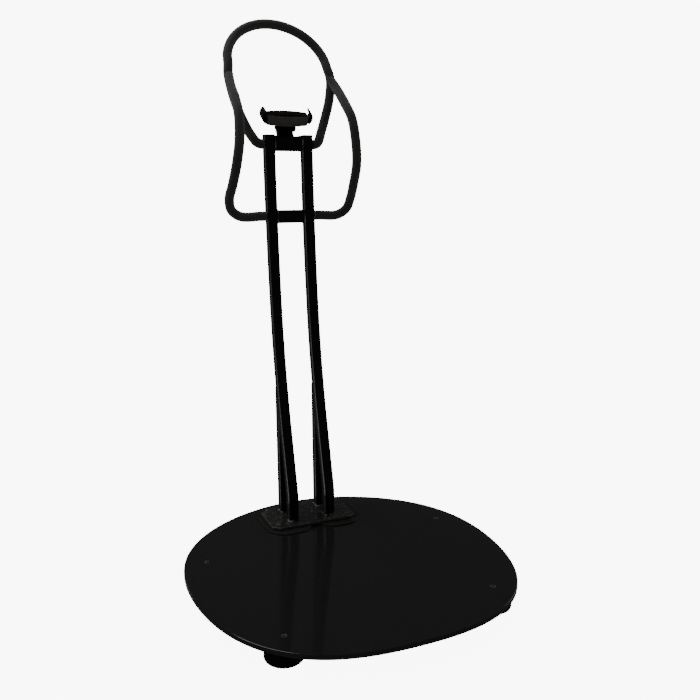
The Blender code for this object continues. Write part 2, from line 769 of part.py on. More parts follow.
def mast_cap(side, sign, root):
    """A plastic cap on the open end of a mast tube, with a plug that fills its bore."""
    points, leans = mast_line(sign * MAST_X)
    top, lean = points[-1], leans[-1]
    along = Vector((0.0, sin(lean), cos(lean)))
    plug = square_section(TUBE - 2 * TUBE_WALL - 4 * GAP, TUBE_CORNER - TUBE_WALL)
    levels = [
        (-CAP_PLUG, plug),
        (GAP, plug),
        (GAP, square_section(TUBE, TUBE_CORNER)),
        (CAP_THICKNESS * 0.6, square_section(TUBE, TUBE_CORNER)),
        (CAP_THICKNESS, square_section(TUBE - 0.002, TUBE_CORNER)),
    ]
    rings = [planar_rings(section, [top + along * height], [lean])[0] for height, section in levels]
    node(f"mast_cap_{side}", loft(rings), black_plastic(), root)


# Handle -------------------------------------------------------------------------------------------
def loop_path():
    """The handle's closed hoop: an arch that leans back, and two legs that run down into the mast's sides."""
    centre_y, centre_z = ARCH_CENTRE
    back, up = sin(radians(ARCH_LEAN)), cos(radians(ARCH_LEAN))
    arch = []
    for k in range(7):
        angle = radians(90.0 * k / 6)
        reach = ARCH_RADIUS * sin(angle)
        height = BOARD_TOP + centre_z + up * reach
        arch.append(Vector((-ARCH_RADIUS * cos(angle), centre_y + back * reach, height)))
    y, z, _ = mast_at(LOOP_END_DROP)
    end = MAST_SIDE + GAP
    foot = [Vector((-end - run_out, y, z)) for run_out in (0.0, LEG_RUN_OUT)]
    legs = [Vector((-MAST_SIDE - out, y, BOARD_TOP + height)) for out, y, height in reversed(LEG_POINTS)]
    left = foot + legs + arch
    right = [Vector((-point.x, point.y, point.z)) for point in reversed(left[:-1])]
    return smooth_path(left + right, LOOP_TURN)


def grip_path(sign):
    """A grip arm: from the hoop it swings forward, down and back, then turns in as a level bar."""
    bar_y, bar_z, _ = mast_at(GRIP_BAR_DROP)
    bend = GRIP_CORNER
    outer = MAST_SIDE + GRIP_POINTS[-1][0]
    corner = [
        (outer - bend * 0.20, bar_y - bend * 0.10, bar_z + bend * 0.42),
        (outer - bend * 0.85, bar_y, bar_z),
        (outer - bend * 2.2, bar_y, bar_z),
        (MAST_SIDE + GAP, bar_y, bar_z),
    ]
    arm = [(MAST_SIDE + out, y, BOARD_TOP + height) for out, y, height in [GRIP_START, *GRIP_POINTS]]
    return smooth_path([Vector((sign * x, y, z)) for x, y, z in arm + corner], LOOP_TURN)


def sleeved(path, radius, wall):
    outer = round_rings(path, radius, HANDLE_SIDES)
    inner = round_rings(path, radius - wall, HANDLE_SIDES)
    return hollow(outer, inner)


def envelope(path, radius):
    """A solid round bar whose flats clear this radius by the gap, for coping other tubes against it."""
    return loft(round_rings(path, (radius + GAP) / cos(pi / HANDLE_SIDES), HANDLE_SIDES))


def handle_tube(name, path, root):
    return node(name, sleeved(path, HANDLE_TUBE_RADIUS, HANDLE_TUBE_WALL), black_enamel(), root)


def handle_sleeve(name, path, root):
    return node(name, sleeved(path, SLEEVE_RADIUS, SLEEVE_WALL), woven_sleeve(), root)


def handle(root):
    loop = loop_path()
    grips = {side: grip_path(sign) for side, sign in MIRROR.items()}
    handle_tube("handle_loop_tube", loop, root)
    loop_sleeve = handle_sleeve("handle_loop_sleeve", shortened(loop, SLEEVE_END, SLEEVE_END), root)
    boolean(loop_sleeve, [envelope(path, HANDLE_TUBE_RADIUS) for path in grips.values()])
    for side, path in grips.items():
        tube = handle_tube(f"grip_tube_{side}", path, root)
        boolean(tube, [envelope(loop, HANDLE_TUBE_RADIUS)])
        sleeve = handle_sleeve(f"grip_sleeve_{side}", shortened(path, 0.0, SLEEVE_END), root)
        boolean(sleeve, [envelope(loop, SLEEVE_RADIUS)])


# Phone holder: bracket and tilt -------------------------------------------------------------------
def crossbar_top():
    y, z, _ = mast_at(UPPER_CROSSBAR_DROP)
    return y, z + CROSSBAR_HEIGHT / 2


def tilt_axis():
    """Where the holder's hinge line crosses the middle of the bracket, as y and z."""
    y, z = crossbar_top()
    lean = radians(NECK_LEAN)
    return y + NECK_LENGTH * sin(lean), z + GAP + NECK_LENGTH * cos(lean)


def holder_bracket(root):
    """A flange on the upper crossbar with a neck that leans back and forks round the holder's knuckle."""
    y, bar_top = crossbar_top()
    low = bar_top + GAP
    axis_y, axis_z = tilt_axis()
    lean = radians(NECK_LEAN)
    half = FLANGE_HALF_WIDTH
    front, back = y - FLANGE_DEPTH / 2, y + FLANGE_DEPTH / 2
    corners = [(a, b, SMALL_CORNER) for a, b in ((-half, front), (half, front), (half, back), (-half, back))]
    flange = prism(rounded(corners, 45.0), low, low + BRACKET_FLANGE)
    bracket = node("holder_bracket", flange, black_plastic(), root)
    boolean(bracket, flange_screw_holes())
    spread = NECK_RADIUS / cos(lean)
    root_z = low + BRACKET_FLANGE / 2
    root_y = y + (root_z - low) * tan(lean)
    outline = [Vector((root_y + spread, root_z))]
    for k in range(9):
        angle = -lean + pi * k / 8
        outline.append(Vector((axis_y + NECK_RADIUS * cos(angle), axis_z + NECK_RADIUS * sin(angle))))
    outline.append(Vector((root_y - spread, root_z)))
    boolean(bracket, [along_x(outline, *BRACKET_X)], "UNION")
    floor = NECK_RADIUS + RUNNING_CLEARANCE
    slot = box(
        (KNUCKLE_X[0] - GAP, axis_y - 3 * floor, axis_z - floor),
        (KNUCKLE_X[1] + GAP, axis_y + 3 * floor, axis_z + 3 * floor),
    )
    boolean(bracket, [slot, pin_hole(*BRACKET_X, (axis_y, axis_z))])


def pin_hole(low, high, centre):
    """The tilt bolt's hole, cut right through from low to high."""
    return rod_x(PIN_RADIUS + RUNNING_CLEARANCE, low - PIN_HEAD, high + PIN_HEAD, centre)


def flange_screw_holes():
    y, bar_top = crossbar_top()
    radius = FLANGE_SCREW_RADIUS + RUNNING_CLEARANCE
    low, high = bar_top - 3 * TUBE_WALL, bar_top + 2 * BRACKET_FLANGE
    return [prism(circle(radius, 12, (x, y)), low, high) for x in flange_screw_xs()]


def flange_screw_xs():
    """Beside the neck on each side, clear of it and inside the flange's ends."""
    inset = FLANGE_SCREW_HEAD + 2 * RUNNING_CLEARANCE
    return -FLANGE_HALF_WIDTH + inset, FLANGE_HALF_WIDTH - inset


def tilt_bolt(root):
    """The hinge's bolt, with its head on the left and its end inside the knob."""
    centre = tilt_axis()
    start = BRACKET_X[0] - GAP
    end = BRACKET_X[1] + KNOB_WIDTH * KNOB_BOLT_SHARE
    levels = [
        (PIN_HEAD_RADIUS, start - PIN_HEAD),
        (PIN_HEAD_RADIUS, start),
        (PIN_RADIUS, start),
        (PIN_RADIUS, end),
    ]
    rings = [[(x, *point) for point in circle(radius, 12, centre)] for radius, x in levels]
    node("tilt_bolt", loft(rings), dark_steel(), root)


def tilt_knob(parent):
    """A ribbed knob on the bolt's end, which clamps the fork round the knuckle."""
    start = BRACKET_X[1] + GAP
    ribs = []
    for i in range(KNOB_RIBS * 4):
        angle = 2 * pi * i / (KNOB_RIBS * 4)
        radius = KNOB_RADIUS * (1.0 if i % 4 < 2 else 1.0 - KNOB_RIB_DEPTH)
        ribs.append(Vector((radius * cos(angle), radius * sin(angle))))
    shape = along_x(ribs, start, start + KNOB_WIDTH)
    knob = node("tilt_knob", shape, black_plastic(), parent)
    depth = KNOB_WIDTH * KNOB_BOLT_SHARE + RUNNING_CLEARANCE
    boolean(knob, [rod_x(PIN_RADIUS + RUNNING_CLEARANCE, start - PIN_HEAD, start + depth, (0.0, 0.0))])


# Phone holder: shell, cover and lip, in the frame of the tilting face -----------------------------
def barrel(inset=0.0, columns=12):
    """The holder's outline: straight ends, with its upper and lower edges bowed out in the middle."""
    half_width = HOLDER_HALF_WIDTH - inset
    corner = HOLDER_CORNER
    end = HOLDER_HALF_END - inset
    middle = HOLDER_HALF_MIDDLE - inset
    edge = []
    for k in range(columns + 1):
        x = (half_width - corner) * (2 * k / columns - 1)
        edge.append((x, end + (middle - end) * (1 - (x / half_width) ** 2)))
    lower = [Vector((x, HOLDER_CENTRE - y)) for x, y in edge]
    upper = [Vector((x, HOLDER_CENTRE + y)) for x, y in reversed(edge)]
    side = end - corner * 0.6
    right = [Vector((half_width, HOLDER_CENTRE - side)), Vector((half_width, HOLDER_CENTRE + side))]
    left = [Vector((-half_width, HOLDER_CENTRE + side)), Vector((-half_width, HOLDER_CENTRE - side))]
    return lower + right + upper + left


def arm_band(sign):
    """The two edges, across the face, of the arm that carries the jaw on this side."""
    near = HOLDER_CENTRE - sign * PITCH_RADIUS
    far = near - sign * ARM_WIDTH
    return min(near, far), max(near, far)


def holder_shell(parent):
    """The rear tray that holds the jaws' arms and the pinion, with a knuckle for the hinge."""
    shape = prism(barrel(), SHELL_BACK, SHELL_FRONT, SHELL_EDGE)
    shell = node("holder_back_shell", shape, black_plastic(), parent)
    reach = SHELL_DEPTH
    web = SHELL_BACK + SHELL_WALL / 2
    bearings = [pi + pi * k / 8 for k in range(9)]
    knuckle = [Vector((NECK_RADIUS * cos(a), NECK_RADIUS * sin(a))) for a in bearings]
    knuckle += [Vector((NECK_RADIUS, web)), Vector((-NECK_RADIUS, web))]
    rooted = SHELL_FLOOR - SHELL_EDGE
    post_top = ARM_BACK + PINION_HEIGHT + SPRING_HEIGHT
    post = prism(circle(POST_RADIUS, 10, (0.0, HOLDER_CENTRE)), rooted, post_top)
    bosses = [
        prism(circle(BOSS_RADIUS, 12, (x, HOLDER_CENTRE)), rooted, SHELL_FRONT)
        for x in (-COVER_SCREW_X, COVER_SCREW_X)
    ]
    boolean(shell, [prism(barrel(SHELL_WALL), SHELL_FLOOR, SHELL_FRONT + reach)])
    boolean(shell, [along_x(knuckle, *KNUCKLE_X), post, *bosses], "UNION")
    cuts = [pin_hole(*KNUCKLE_X, (0.0, 0.0))]
    for sign in MIRROR.values():
        low_y, high_y = arm_band(sign)
        outer = sign * (HOLDER_HALF_WIDTH + reach)
        inner = sign * (HOLDER_HALF_WIDTH - 2 * SHELL_WALL)
        cuts.append(
            box(
                (min(outer, inner), low_y - SLIDE_CLEARANCE, ARM_BACK - SLIDE_CLEARANCE),
                (max(outer, inner), high_y + SLIDE_CLEARANCE, ARM_BACK + ARM_THICKNESS + SLIDE_CLEARANCE),
            )
        )
    for x in (-COVER_SCREW_X, COVER_SCREW_X):
        hole = circle(COVER_SCREW_RADIUS + RUNNING_CLEARANCE / 2, 10, (x, HOLDER_CENTRE))
        cuts.append(prism(hole, COVER_FRONT - COVER_SCREW_LENGTH - GAP, SHELL_FRONT + reach))
    boolean(shell, cuts)


def holder_cover(parent):
    """The gloss panel that closes the shell and faces the user, with its screws sunk into it."""
    shape = prism(barrel(), COVER_BACK, COVER_FRONT, SHELL_EDGE)
    cover = node("holder_front_panel", shape, gloss_plastic(), parent)
    boolean(cover, [cover_screw_shape(sign, RUNNING_CLEARANCE / 2) for sign in MIRROR.values()])


def cover_screw_shape(sign, grow=0.0):
    centre = (sign * COVER_SCREW_X, HOLDER_CENTRE)
    sizes = (COVER_SCREW_RADIUS, COVER_SCREW_HEAD, COVER_SCREW_LENGTH)
    return countersunk(COVER_FRONT, centre, *sizes, grow, 10)


def cover_screw(side, sign, parent):
    node(f"panel_screw_{side}", cover_screw_shape(sign), dark_steel(), parent)


def holder_lip(parent):
    """A soft ledge along the holder's lower edge, which the phone stands on."""
    edge = [point for point in barrel() if point.y < HOLDER_CENTRE and abs(point.x) <= LIP_HALF_WIDTH]
    inner = [Vector((point.x, point.y - GAP)) for point in edge]
    outer = [Vector((point.x, point.y - GAP - LIP_THICKNESS)) for point in reversed(edge)]
    node("holder_lower_lip", prism(inner + outer, SHELL_BACK, SHELL_BACK + LIP_DEPTH), lip_rubber(), parent)


# Phone holder: jaws, pinion and spring ------------------------------------------------------------
def tooth_half_width(height):
    """Half the width of a rack tooth this far above its pitch line, with straight flanks."""
    return pi * TOOTH_MODULE / 4 - TOOTH_SLACK - height * tan(radians(20))


def rack_edge(start, end):
    """The toothed edge of an arm from start to end, as places along it and heights above the pitch line."""
    tip, floor = TOOTH_TIP, -TOOTH_ROOT
    pitch = pi * TOOTH_MODULE
    edge = []
    k = ceil((start + pitch / 2) / pitch - 0.5)
    while (k + 0.5) * pitch + tooth_half_width(floor) < end:
        middle = (k + 0.5) * pitch
        if middle - tooth_half_width(floor) > start:
            edge += [(middle - tooth_half_width(floor), floor), (middle - tooth_half_width(tip), tip)]
            edge += [(middle + tooth_half_width(tip), tip), (middle + tooth_half_width(floor), floor)]
        k += 1
    return edge


def jaw_bow(share):
    """How far the jaw's wall bows outwards, at this share of its height: most a little above the middle."""
    return JAW_BULGE * sin(pi * (JAW_BOW_FROM + (JAW_BOW_TO - JAW_BOW_FROM) * share))


def jaw_root():
    """How far from the middle the centre of the jaw's wall stands, where it meets the arm."""
    return HOLDER_HALF_WIDTH + JAW_CLEARANCE + JAW_WALL / 2


def jaw_strip(thickness, offset, columns=8):
    """The jaw's curved wall seen along its height: out from the shell's side, then back in at its tip."""
    base = jaw_root() - jaw_bow(0.0)
    outer, inner = [], []
    for k in range(columns + 1):
        share = k / columns
        z = ARM_BACK + JAW_RISE * share
        outer.append(Vector((base + jaw_bow(share) - offset + thickness / 2, z)))
        inner.append(Vector((base + jaw_bow(share) - offset - thickness / 2, z)))
    return outer + inner[::-1]


def jaw(side, sign, parent):
    """One jaw with the toothed arm that slides inside the shell."""
    start, end = -ARM_REACH, ARM_REACH
    outer_x = jaw_root()
    profile = [(start, -TOOTH_ROOT), *rack_edge(start, end), (outer_x, -TOOTH_ROOT)]
    profile += [(outer_x, -ARM_WIDTH), (start, -ARM_WIDTH)]
    outline = [Vector((sign * x, HOLDER_CENTRE - sign * (PITCH_RADIUS - height))) for x, height in profile]
    made = node(f"jaw_{side}", prism(outline, ARM_BACK, ARM_BACK + ARM_THICKNESS), black_plastic(), parent)
    wall = [Vector((sign * x, z)) for x, z in jaw_strip(JAW_WALL, 0.0)]
    low, high = HOLDER_CENTRE - JAW_HALF_HEIGHT, HOLDER_CENTRE + JAW_HALF_HEIGHT
    boolean(made, [along_y(wall, low, high)], "UNION")


def jaw_pad(side, sign, parent):
    """A rubber pad on the jaw's inner wall, ribbed to hold the phone's edge."""
    offset = JAW_WALL / 2 + GAP + PAD_WALL / 2
    wall = jaw_strip(PAD_WALL, offset, 16)
    half = len(wall) // 2
    tip_side = wall[:half]
    face = wall[half:]
    foot = COVER_FRONT + PAD_FOOT_CLEARANCE
    above = [point for point in tip_side if point.y > foot]
    shown = [point for point in face if point.y > foot]
    ribbed = [
        Vector((point.x - PAD_RIB_HEIGHT * (k % 2), point.y))
        for k, point in enumerate(shown)
    ]
    outline = [Vector((sign * x, z)) for x, z in above + ribbed]
    reach = JAW_HALF_HEIGHT * PAD_HEIGHT_SHARE
    shape = along_y(outline, HOLDER_CENTRE - reach, HOLDER_CENTRE + reach)
    node(f"jaw_pad_{side}", shape, black_rubber(), parent)


def jaw_pinion(parent):
    """The pinion between the two toothed arms, which makes both jaws move by the same amount."""
    outline = []
    flanks = [(-1, row) for row in PINION_TOOTH] + [(1, row) for row in PINION_TOOTH[:0:-1]]
    for k in range(PINION_TEETH):
        middle = 2 * pi * k / PINION_TEETH + pi / 2
        for side, (height, half_width) in flanks:
            radius = PITCH_RADIUS + height
            angle = middle + side * half_width / radius
            outline.append(Vector((radius * cos(angle), radius * sin(angle))))
    top = ARM_BACK + PINION_HEIGHT
    pinion = node("jaw_pinion", prism(outline, ARM_BACK, top), black_plastic(), parent)
    boolean(pinion, [prism(circle(PINION_BORE, 10), ARM_BACK - TOOTH_MODULE, top + TOOTH_MODULE)])


def jaw_spring(parent):
    """A flat spiral spring round the pinion's post, over the pinion, that pulls the jaws shut."""
    low = ARM_BACK + PINION_HEIGHT + 2 * GAP
    steps = int(SPRING_TURNS * 12)
    high = low + SPRING_HEIGHT
    first, last = POST_RADIUS + 2 * RUNNING_CLEARANCE, PITCH_RADIUS * 0.9
    middle = Vector((0.0, HOLDER_CENTRE))
    rings = []
    for k in range(steps + 1):
        angle = 2 * pi * SPRING_TURNS * k / steps
        radius = first + (last - first) * k / steps
        direction = Vector((cos(angle), sin(angle)))
        near = middle + direction * radius
        far = middle + direction * (radius + SPRING_STRIP)
        rings.append([(*near, low), (*far, low), (*far, high), (*near, high)])
    node("jaw_spring", loft(rings), bright_steel(), parent)


def bracket_screw(side, centre, top, root):
    """A button-head screw through the bracket's flange, with the underside of its head at top."""
    profile = [
        (FLANGE_SCREW_HEAD * 0.6, top + FLANGE_SCREW_RISE),
        (FLANGE_SCREW_HEAD, top + FLANGE_SCREW_RISE / 2),
        (FLANGE_SCREW_HEAD, top),
        (FLANGE_SCREW_RADIUS, top),
        (FLANGE_SCREW_RADIUS, top - FLANGE_SCREW_LENGTH),
    ]
    node(f"bracket_screw_{side}", turned(profile, 10, centre), dark_steel(), root)


def phone_holder(root):
    holder_bracket(root)
    y, bar_top = crossbar_top()
    for side, x in zip(MIRROR, flange_screw_xs()):
        bracket_screw(side, (x, y), bar_top + BRACKET_FLANGE + 2 * GAP, root)
    tilt_bolt(root)
    axis_y, axis_z = tilt_axis()
    tilt_knob(pivot("knob_axis", (0.0, axis_y, axis_z), root))
    face = pivot("holder_face", (0.0, axis_y, axis_z), root, radians(HOLDER_RECLINE))
    holder_shell(face)
    holder_cover(face)
    holder_lip(face)
    for side, sign in MIRROR.items():
        cover_screw(side, sign, face)
        jaw(side, sign, face)
        jaw_pad(side, sign, face)
    jaw_pinion(pivot("pinion_axis", (0.0, HOLDER_CENTRE, 0.0), face))
    jaw_spring(face)


def centre_on_floor(root):
    """Moves the whole object so that the middle of its bounding box stands over the origin, on z = 0."""
    bpy.context.view_layer.update()
    depsgraph = bpy.context.evaluated_depsgraph_get()
    corners = []
    for thing in bpy.context.scene.objects:
        if thing.type == "MESH" and not thing.hide_render:
            evaluated = thing.evaluated_get(depsgraph)
            corners += [evaluated.matrix_world @ vertex.co for vertex in evaluated.data.vertices]
    lows = [min(corner[axis] for corner in corners) for axis in range(3)]
    highs = [max(corner[axis] for corner in corners) for axis in range(3)]
    root.location = (-(lows[0] + highs[0]) / 2, -(lows[1] + highs[1]) / 2, -lows[2])
    bpy.context.view_layer.update()


def main():
    clear_scene()
    root = pivot("vibration_plate", (0.0, 0.0, 0.0))
    deck_board(root)
    for place in FOOT_PLACES:
        rubber_foot(place, root)
        foot_insert(place, root)
        foot_screw(place, root)
    mast_pad(root)
    mast_foot_plate(root)
    for place, centre in bolt_centres().items():
        mast_bolt(place, centre, root)
        mast_nut(place, centre, root)
    for side, sign in MIRROR.items():
        backing_bar(side, sign, root)
        mast_tube(side, sign, root)
        mast_strut(side, sign, root)
        mast_cap(side, sign, root)
    upper = crossbar("crossbar_upper", UPPER_CROSSBAR_DROP, False, root)
    boolean(upper, flange_screw_holes())
    crossbar("crossbar_lower", LOWER_CROSSBAR_DROP, True, root)
    handle(root)
    phone_holder(root)
    centre_on_floor(root)


main()
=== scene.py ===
# %% [markdown]
# A vibration plate, dressed from its measured frame. The frame gives every body, joint and size, and this
# lesson adds what the eye looks for: rolled edges, weld beads, woven sleeves, lacquer, enamel, rubber and steel.
# Each shape is worked out with numpy as a grid of points, and each finish is a small tree of shader nodes.

# %% Load the frame
import json
from math import cos, pi, radians, sin

import bmesh
import bpy
import numpy as np
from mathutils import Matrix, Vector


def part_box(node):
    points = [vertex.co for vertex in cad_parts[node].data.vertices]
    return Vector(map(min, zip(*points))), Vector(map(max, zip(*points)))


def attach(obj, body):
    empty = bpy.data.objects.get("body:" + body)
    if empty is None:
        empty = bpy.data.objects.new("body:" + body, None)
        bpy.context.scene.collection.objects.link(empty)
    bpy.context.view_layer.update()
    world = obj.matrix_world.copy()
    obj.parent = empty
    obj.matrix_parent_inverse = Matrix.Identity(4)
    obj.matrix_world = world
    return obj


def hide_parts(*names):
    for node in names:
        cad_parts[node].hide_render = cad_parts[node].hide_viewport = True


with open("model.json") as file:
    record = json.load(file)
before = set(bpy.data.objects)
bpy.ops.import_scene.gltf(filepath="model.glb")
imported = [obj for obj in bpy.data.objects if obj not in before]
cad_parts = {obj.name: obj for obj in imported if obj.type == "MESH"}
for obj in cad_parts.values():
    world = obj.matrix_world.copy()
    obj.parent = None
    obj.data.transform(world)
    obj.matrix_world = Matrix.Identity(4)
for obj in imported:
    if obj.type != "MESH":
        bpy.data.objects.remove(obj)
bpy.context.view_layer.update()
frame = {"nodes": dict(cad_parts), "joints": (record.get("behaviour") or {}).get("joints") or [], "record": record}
record = frame["record"]

# %% [markdown]
# The camera stands a little left of the user's place and looks down by about twelve degrees.
# Its lens and place come first, because every later look is seen through it.

# %% Camera
camera_data = bpy.data.cameras.new("camera")
camera_data.lens = 41.54
camera_data.sensor_width = 36.0
camera = bpy.data.objects.new("camera", camera_data)
camera.location = (-0.8094, -1.9453, 1.0863)
camera.rotation_euler = (radians(77.633), 0.0, radians(-23.6845))
bpy.context.scene.collection.objects.link(camera)
bpy.context.scene.camera = camera
print("camera at", tuple(camera.location))

# %% [markdown]
# Soft studio light on a black glossy thing is mostly a question of what the gloss mirrors. The pale surroundings
# and the soft boxes light the matt parts. Gloss sees a dark room, as in a studio with black flags, and those of
# the boxes that are meant to draw a highlight. Only the camera sees the floor, as a seamless backdrop.

# %% Floor, surroundings and soft boxes
PALE = 0.86
ROOM_IN_GLOSS = 0.028
AMBIENT = 0.42
BACKDROP = 9.0

floor_mesh = bpy.data.meshes.new("floor")
FLOOR_REACH = 60.0
floor_corners = [(-1, -1), (1, -1), (1, 1), (-1, 1)]
floor_mesh.from_pydata([(x * FLOOR_REACH, y * FLOOR_REACH, 0.0) for x, y in floor_corners], [], [(0, 1, 2, 3)])
floor = bpy.data.objects.new("floor", floor_mesh)
floor.visible_glossy = False
floor.visible_diffuse = False
floor.visible_shadow = False
bpy.context.scene.collection.objects.link(floor)


def surroundings():
    """A pale world that lights and fills the view, and a dark one that the gloss mirrors."""
    world = bpy.data.worlds.new("studio")
    world.use_nodes = True
    tree = world.node_tree
    tree.nodes.clear()
    path = tree.nodes.new("ShaderNodeLightPath")
    lit = tree.nodes.new("ShaderNodeBackground")
    dark = tree.nodes.new("ShaderNodeBackground")
    seen = tree.nodes.new("ShaderNodeBackground")
    chosen = tree.nodes.new("ShaderNodeMixShader")
    shown = tree.nodes.new("ShaderNodeMixShader")
    out = tree.nodes.new("ShaderNodeOutputWorld")
    lit.inputs["Color"].default_value = (AMBIENT, AMBIENT, AMBIENT, 1.0)
    dark.inputs["Color"].default_value = (ROOM_IN_GLOSS, ROOM_IN_GLOSS, ROOM_IN_GLOSS, 1.0)
    seen.inputs["Color"].default_value = (1.0, 1.0, 1.0, 1.0)
    seen.inputs["Strength"].default_value = BACKDROP
    tree.links.new(path.outputs["Is Glossy Ray"], chosen.inputs["Fac"])
    tree.links.new(lit.outputs[0], chosen.inputs[1])
    tree.links.new(dark.outputs[0], chosen.inputs[2])
    tree.links.new(path.outputs["Is Camera Ray"], shown.inputs["Fac"])
    tree.links.new(chosen.outputs[0], shown.inputs[1])
    tree.links.new(seen.outputs[0], shown.inputs[2])
    tree.links.new(shown.outputs[0], out.inputs["Surface"])
    bpy.context.scene.world = world


def soft_box(name, place, target, width, height, watts, colour=(1.0, 1.0, 1.0), mirrored=True):
    """A rectangular light at place, turned to face target. Gloss shows it only if it is mirrored."""
    data = bpy.data.lights.new(name, "AREA")
    data.shape = "RECTANGLE"
    data.size = width
    data.size_y = height
    data.energy = watts
    data.color = colour
    lamp = bpy.data.objects.new(name, data)
    lamp.location = place
    lamp.visible_glossy = mirrored
    direction = lamp.location.copy()
    direction.x, direction.y, direction.z = (b - a for a, b in zip(place, target))
    lamp.rotation_euler = direction.to_track_quat("-Z", "Y").to_euler()
    bpy.context.scene.collection.objects.link(lamp)


surroundings()
soft_box("box_back_left", (-1.75, 3.1, 0.35), (0.0, 0.2, 0.75), 0.40, 3.2, 4.0, (0.86, 0.93, 1.0))
soft_box("box_left", (-3.2, 0.2, 2.2), (0.0, 0.0, 0.8), 1.0, 1.6, 17.0, mirrored=False)
soft_box("box_over", (-1.1, 1.3, 3.4), (0.0, 0.1, 0.6), 1.8, 1.6, 34.0)
soft_box("box_right", (3.4, 1.4, 1.5), (0.0, 0.3, 0.8), 0.6, 2.6, 9.0)
print("stage set")

# %% [markdown]
# Every part below is a skin: rows of points, each row a closed ring. Ring after ring is joined by four-sided
# faces, and the two open ends are closed with flat faces. Where the last ring meets the first, as in the wall of
# an open tube, the rows close too. The skin also carries a map with turns round the ring and metres along it,
# which cloth needs so that its weave follows the bends.

# %% Skins from grids of points
FRAME_BODY = "frame"


def quad_corners(rows, columns, closed):
    """For each face, the (row, column) of its four corners, counted on past the last so that maps don't fold back."""
    last = rows if closed else rows - 1
    row, column = np.meshgrid(np.arange(last), np.arange(columns), indexing="ij")
    start = np.stack([row.ravel(), column.ravel()], axis=-1)[:, None]
    return start + np.array([[0, 0], [0, 1], [1, 1], [1, 0]])


def skin(name, grid, closed=False, sharp=32.0):
    """An object from grid[row, column] = (x, y, z): columns run round a ring, rows run from ring to ring."""
    rows, columns = grid.shape[:2]
    corners = quad_corners(rows, columns, closed)
    index = (corners[..., 0] % rows) * columns + corners[..., 1] % columns
    faces = index.tolist()
    along = np.concatenate([[0.0], np.cumsum(np.linalg.norm(np.diff(grid[:, 0], axis=0), axis=1))])
    along = np.append(along, along[-1])
    maps = np.stack([corners[..., 1] / columns, along[corners[..., 0]]], axis=-1).reshape(-1, 2)
    if not closed:
        faces += [list(range(columns)), list(range((rows - 1) * columns, rows * columns))]
        maps = np.concatenate([maps, np.zeros((2 * columns, 2))])
    mesh = bpy.data.meshes.new(name)
    mesh.from_pydata(grid.reshape(-1, 3).tolist(), [], faces)
    layer = mesh.uv_layers.new(name="run")
    layer.data.foreach_set("uv", maps.astype(np.float32).ravel())
    return finished(name, mesh, sharp)


def finished(name, mesh, sharp=32.0):
    """An object from a mesh, with its faces turned outwards and its edges crisp past this angle in degrees."""
    work = bmesh.new()
    work.from_mesh(mesh)
    bmesh.ops.recalc_face_normals(work, faces=work.faces)
    work.to_mesh(mesh)
    work.free()
    mesh.shade_smooth()
    mesh.set_sharp_from_angle(angle=radians(sharp))
    made = bpy.data.objects.new(name, mesh)
    bpy.context.scene.collection.objects.link(made)
    return made


def bored(piece, cutters, sharp=32.0):
    """The piece with the cutters' volume taken away, and the cutters gone."""
    for cutter in cutters:
        cut = piece.modifiers.new("cut", "BOOLEAN")
        cut.solver = "EXACT"
        cut.object = cutter
    graph = bpy.context.evaluated_depsgraph_get()
    mesh = bpy.data.meshes.new_from_object(piece.evaluated_get(graph))
    piece.modifiers.clear()
    piece.data = mesh
    mesh.shade_smooth()
    mesh.set_sharp_from_angle(angle=radians(sharp))
    for cutter in cutters:
        bpy.data.objects.remove(cutter)
    return piece


# %% [markdown]
# A flat part is an outline carried through levels, each with its height and how far it is drawn in. Its rounded
# edges are quarter circles of levels. The outline's own normals say which way is in, so the edge keeps one width
# all round. A turned part is the same idea round an axis.

# %% Outlines, slabs and turned parts
def inset(outline, distance):
    """The outline moved inwards by a distance along its normals. It runs anticlockwise."""
    ahead = np.roll(outline, -1, axis=0) - outline
    behind = outline - np.roll(outline, 1, axis=0)
    way = ahead / np.linalg.norm(ahead, axis=1)[:, None] + behind / np.linalg.norm(behind, axis=1)[:, None]
    way /= np.linalg.norm(way, axis=1)[:, None]
    return outline + distance * np.stack([-way[:, 1], way[:, 0]], axis=-1)


def levels_of(low, high, round_low, round_high, steps=4):
    """(height, inset) pairs: a quarter circle up from low, a straight wall, and a quarter circle in to high."""
    angle = np.linspace(0.0, pi / 2, steps + 1)
    below = np.stack([low + round_low * (1 - np.sin(angle)), round_low * (1 - np.cos(angle))], axis=-1)[::-1]
    above = np.stack([high - round_high * (1 - np.sin(angle)), round_high * (1 - np.cos(angle))], axis=-1)
    return np.concatenate([below, above])


def slab_grid(outline, levels):
    """Rings of the outline, one for each (height, inset), and one more just inside each flat end to keep it flat."""
    first, last = levels[0], levels[-1]
    kept = [(first[0], first[1] + 0.0006), *levels, (last[0], last[1] + 0.0006)]
    rings = [np.column_stack([inset(outline, draw), np.full(len(outline), height)]) for height, draw in kept]
    return np.stack(rings)


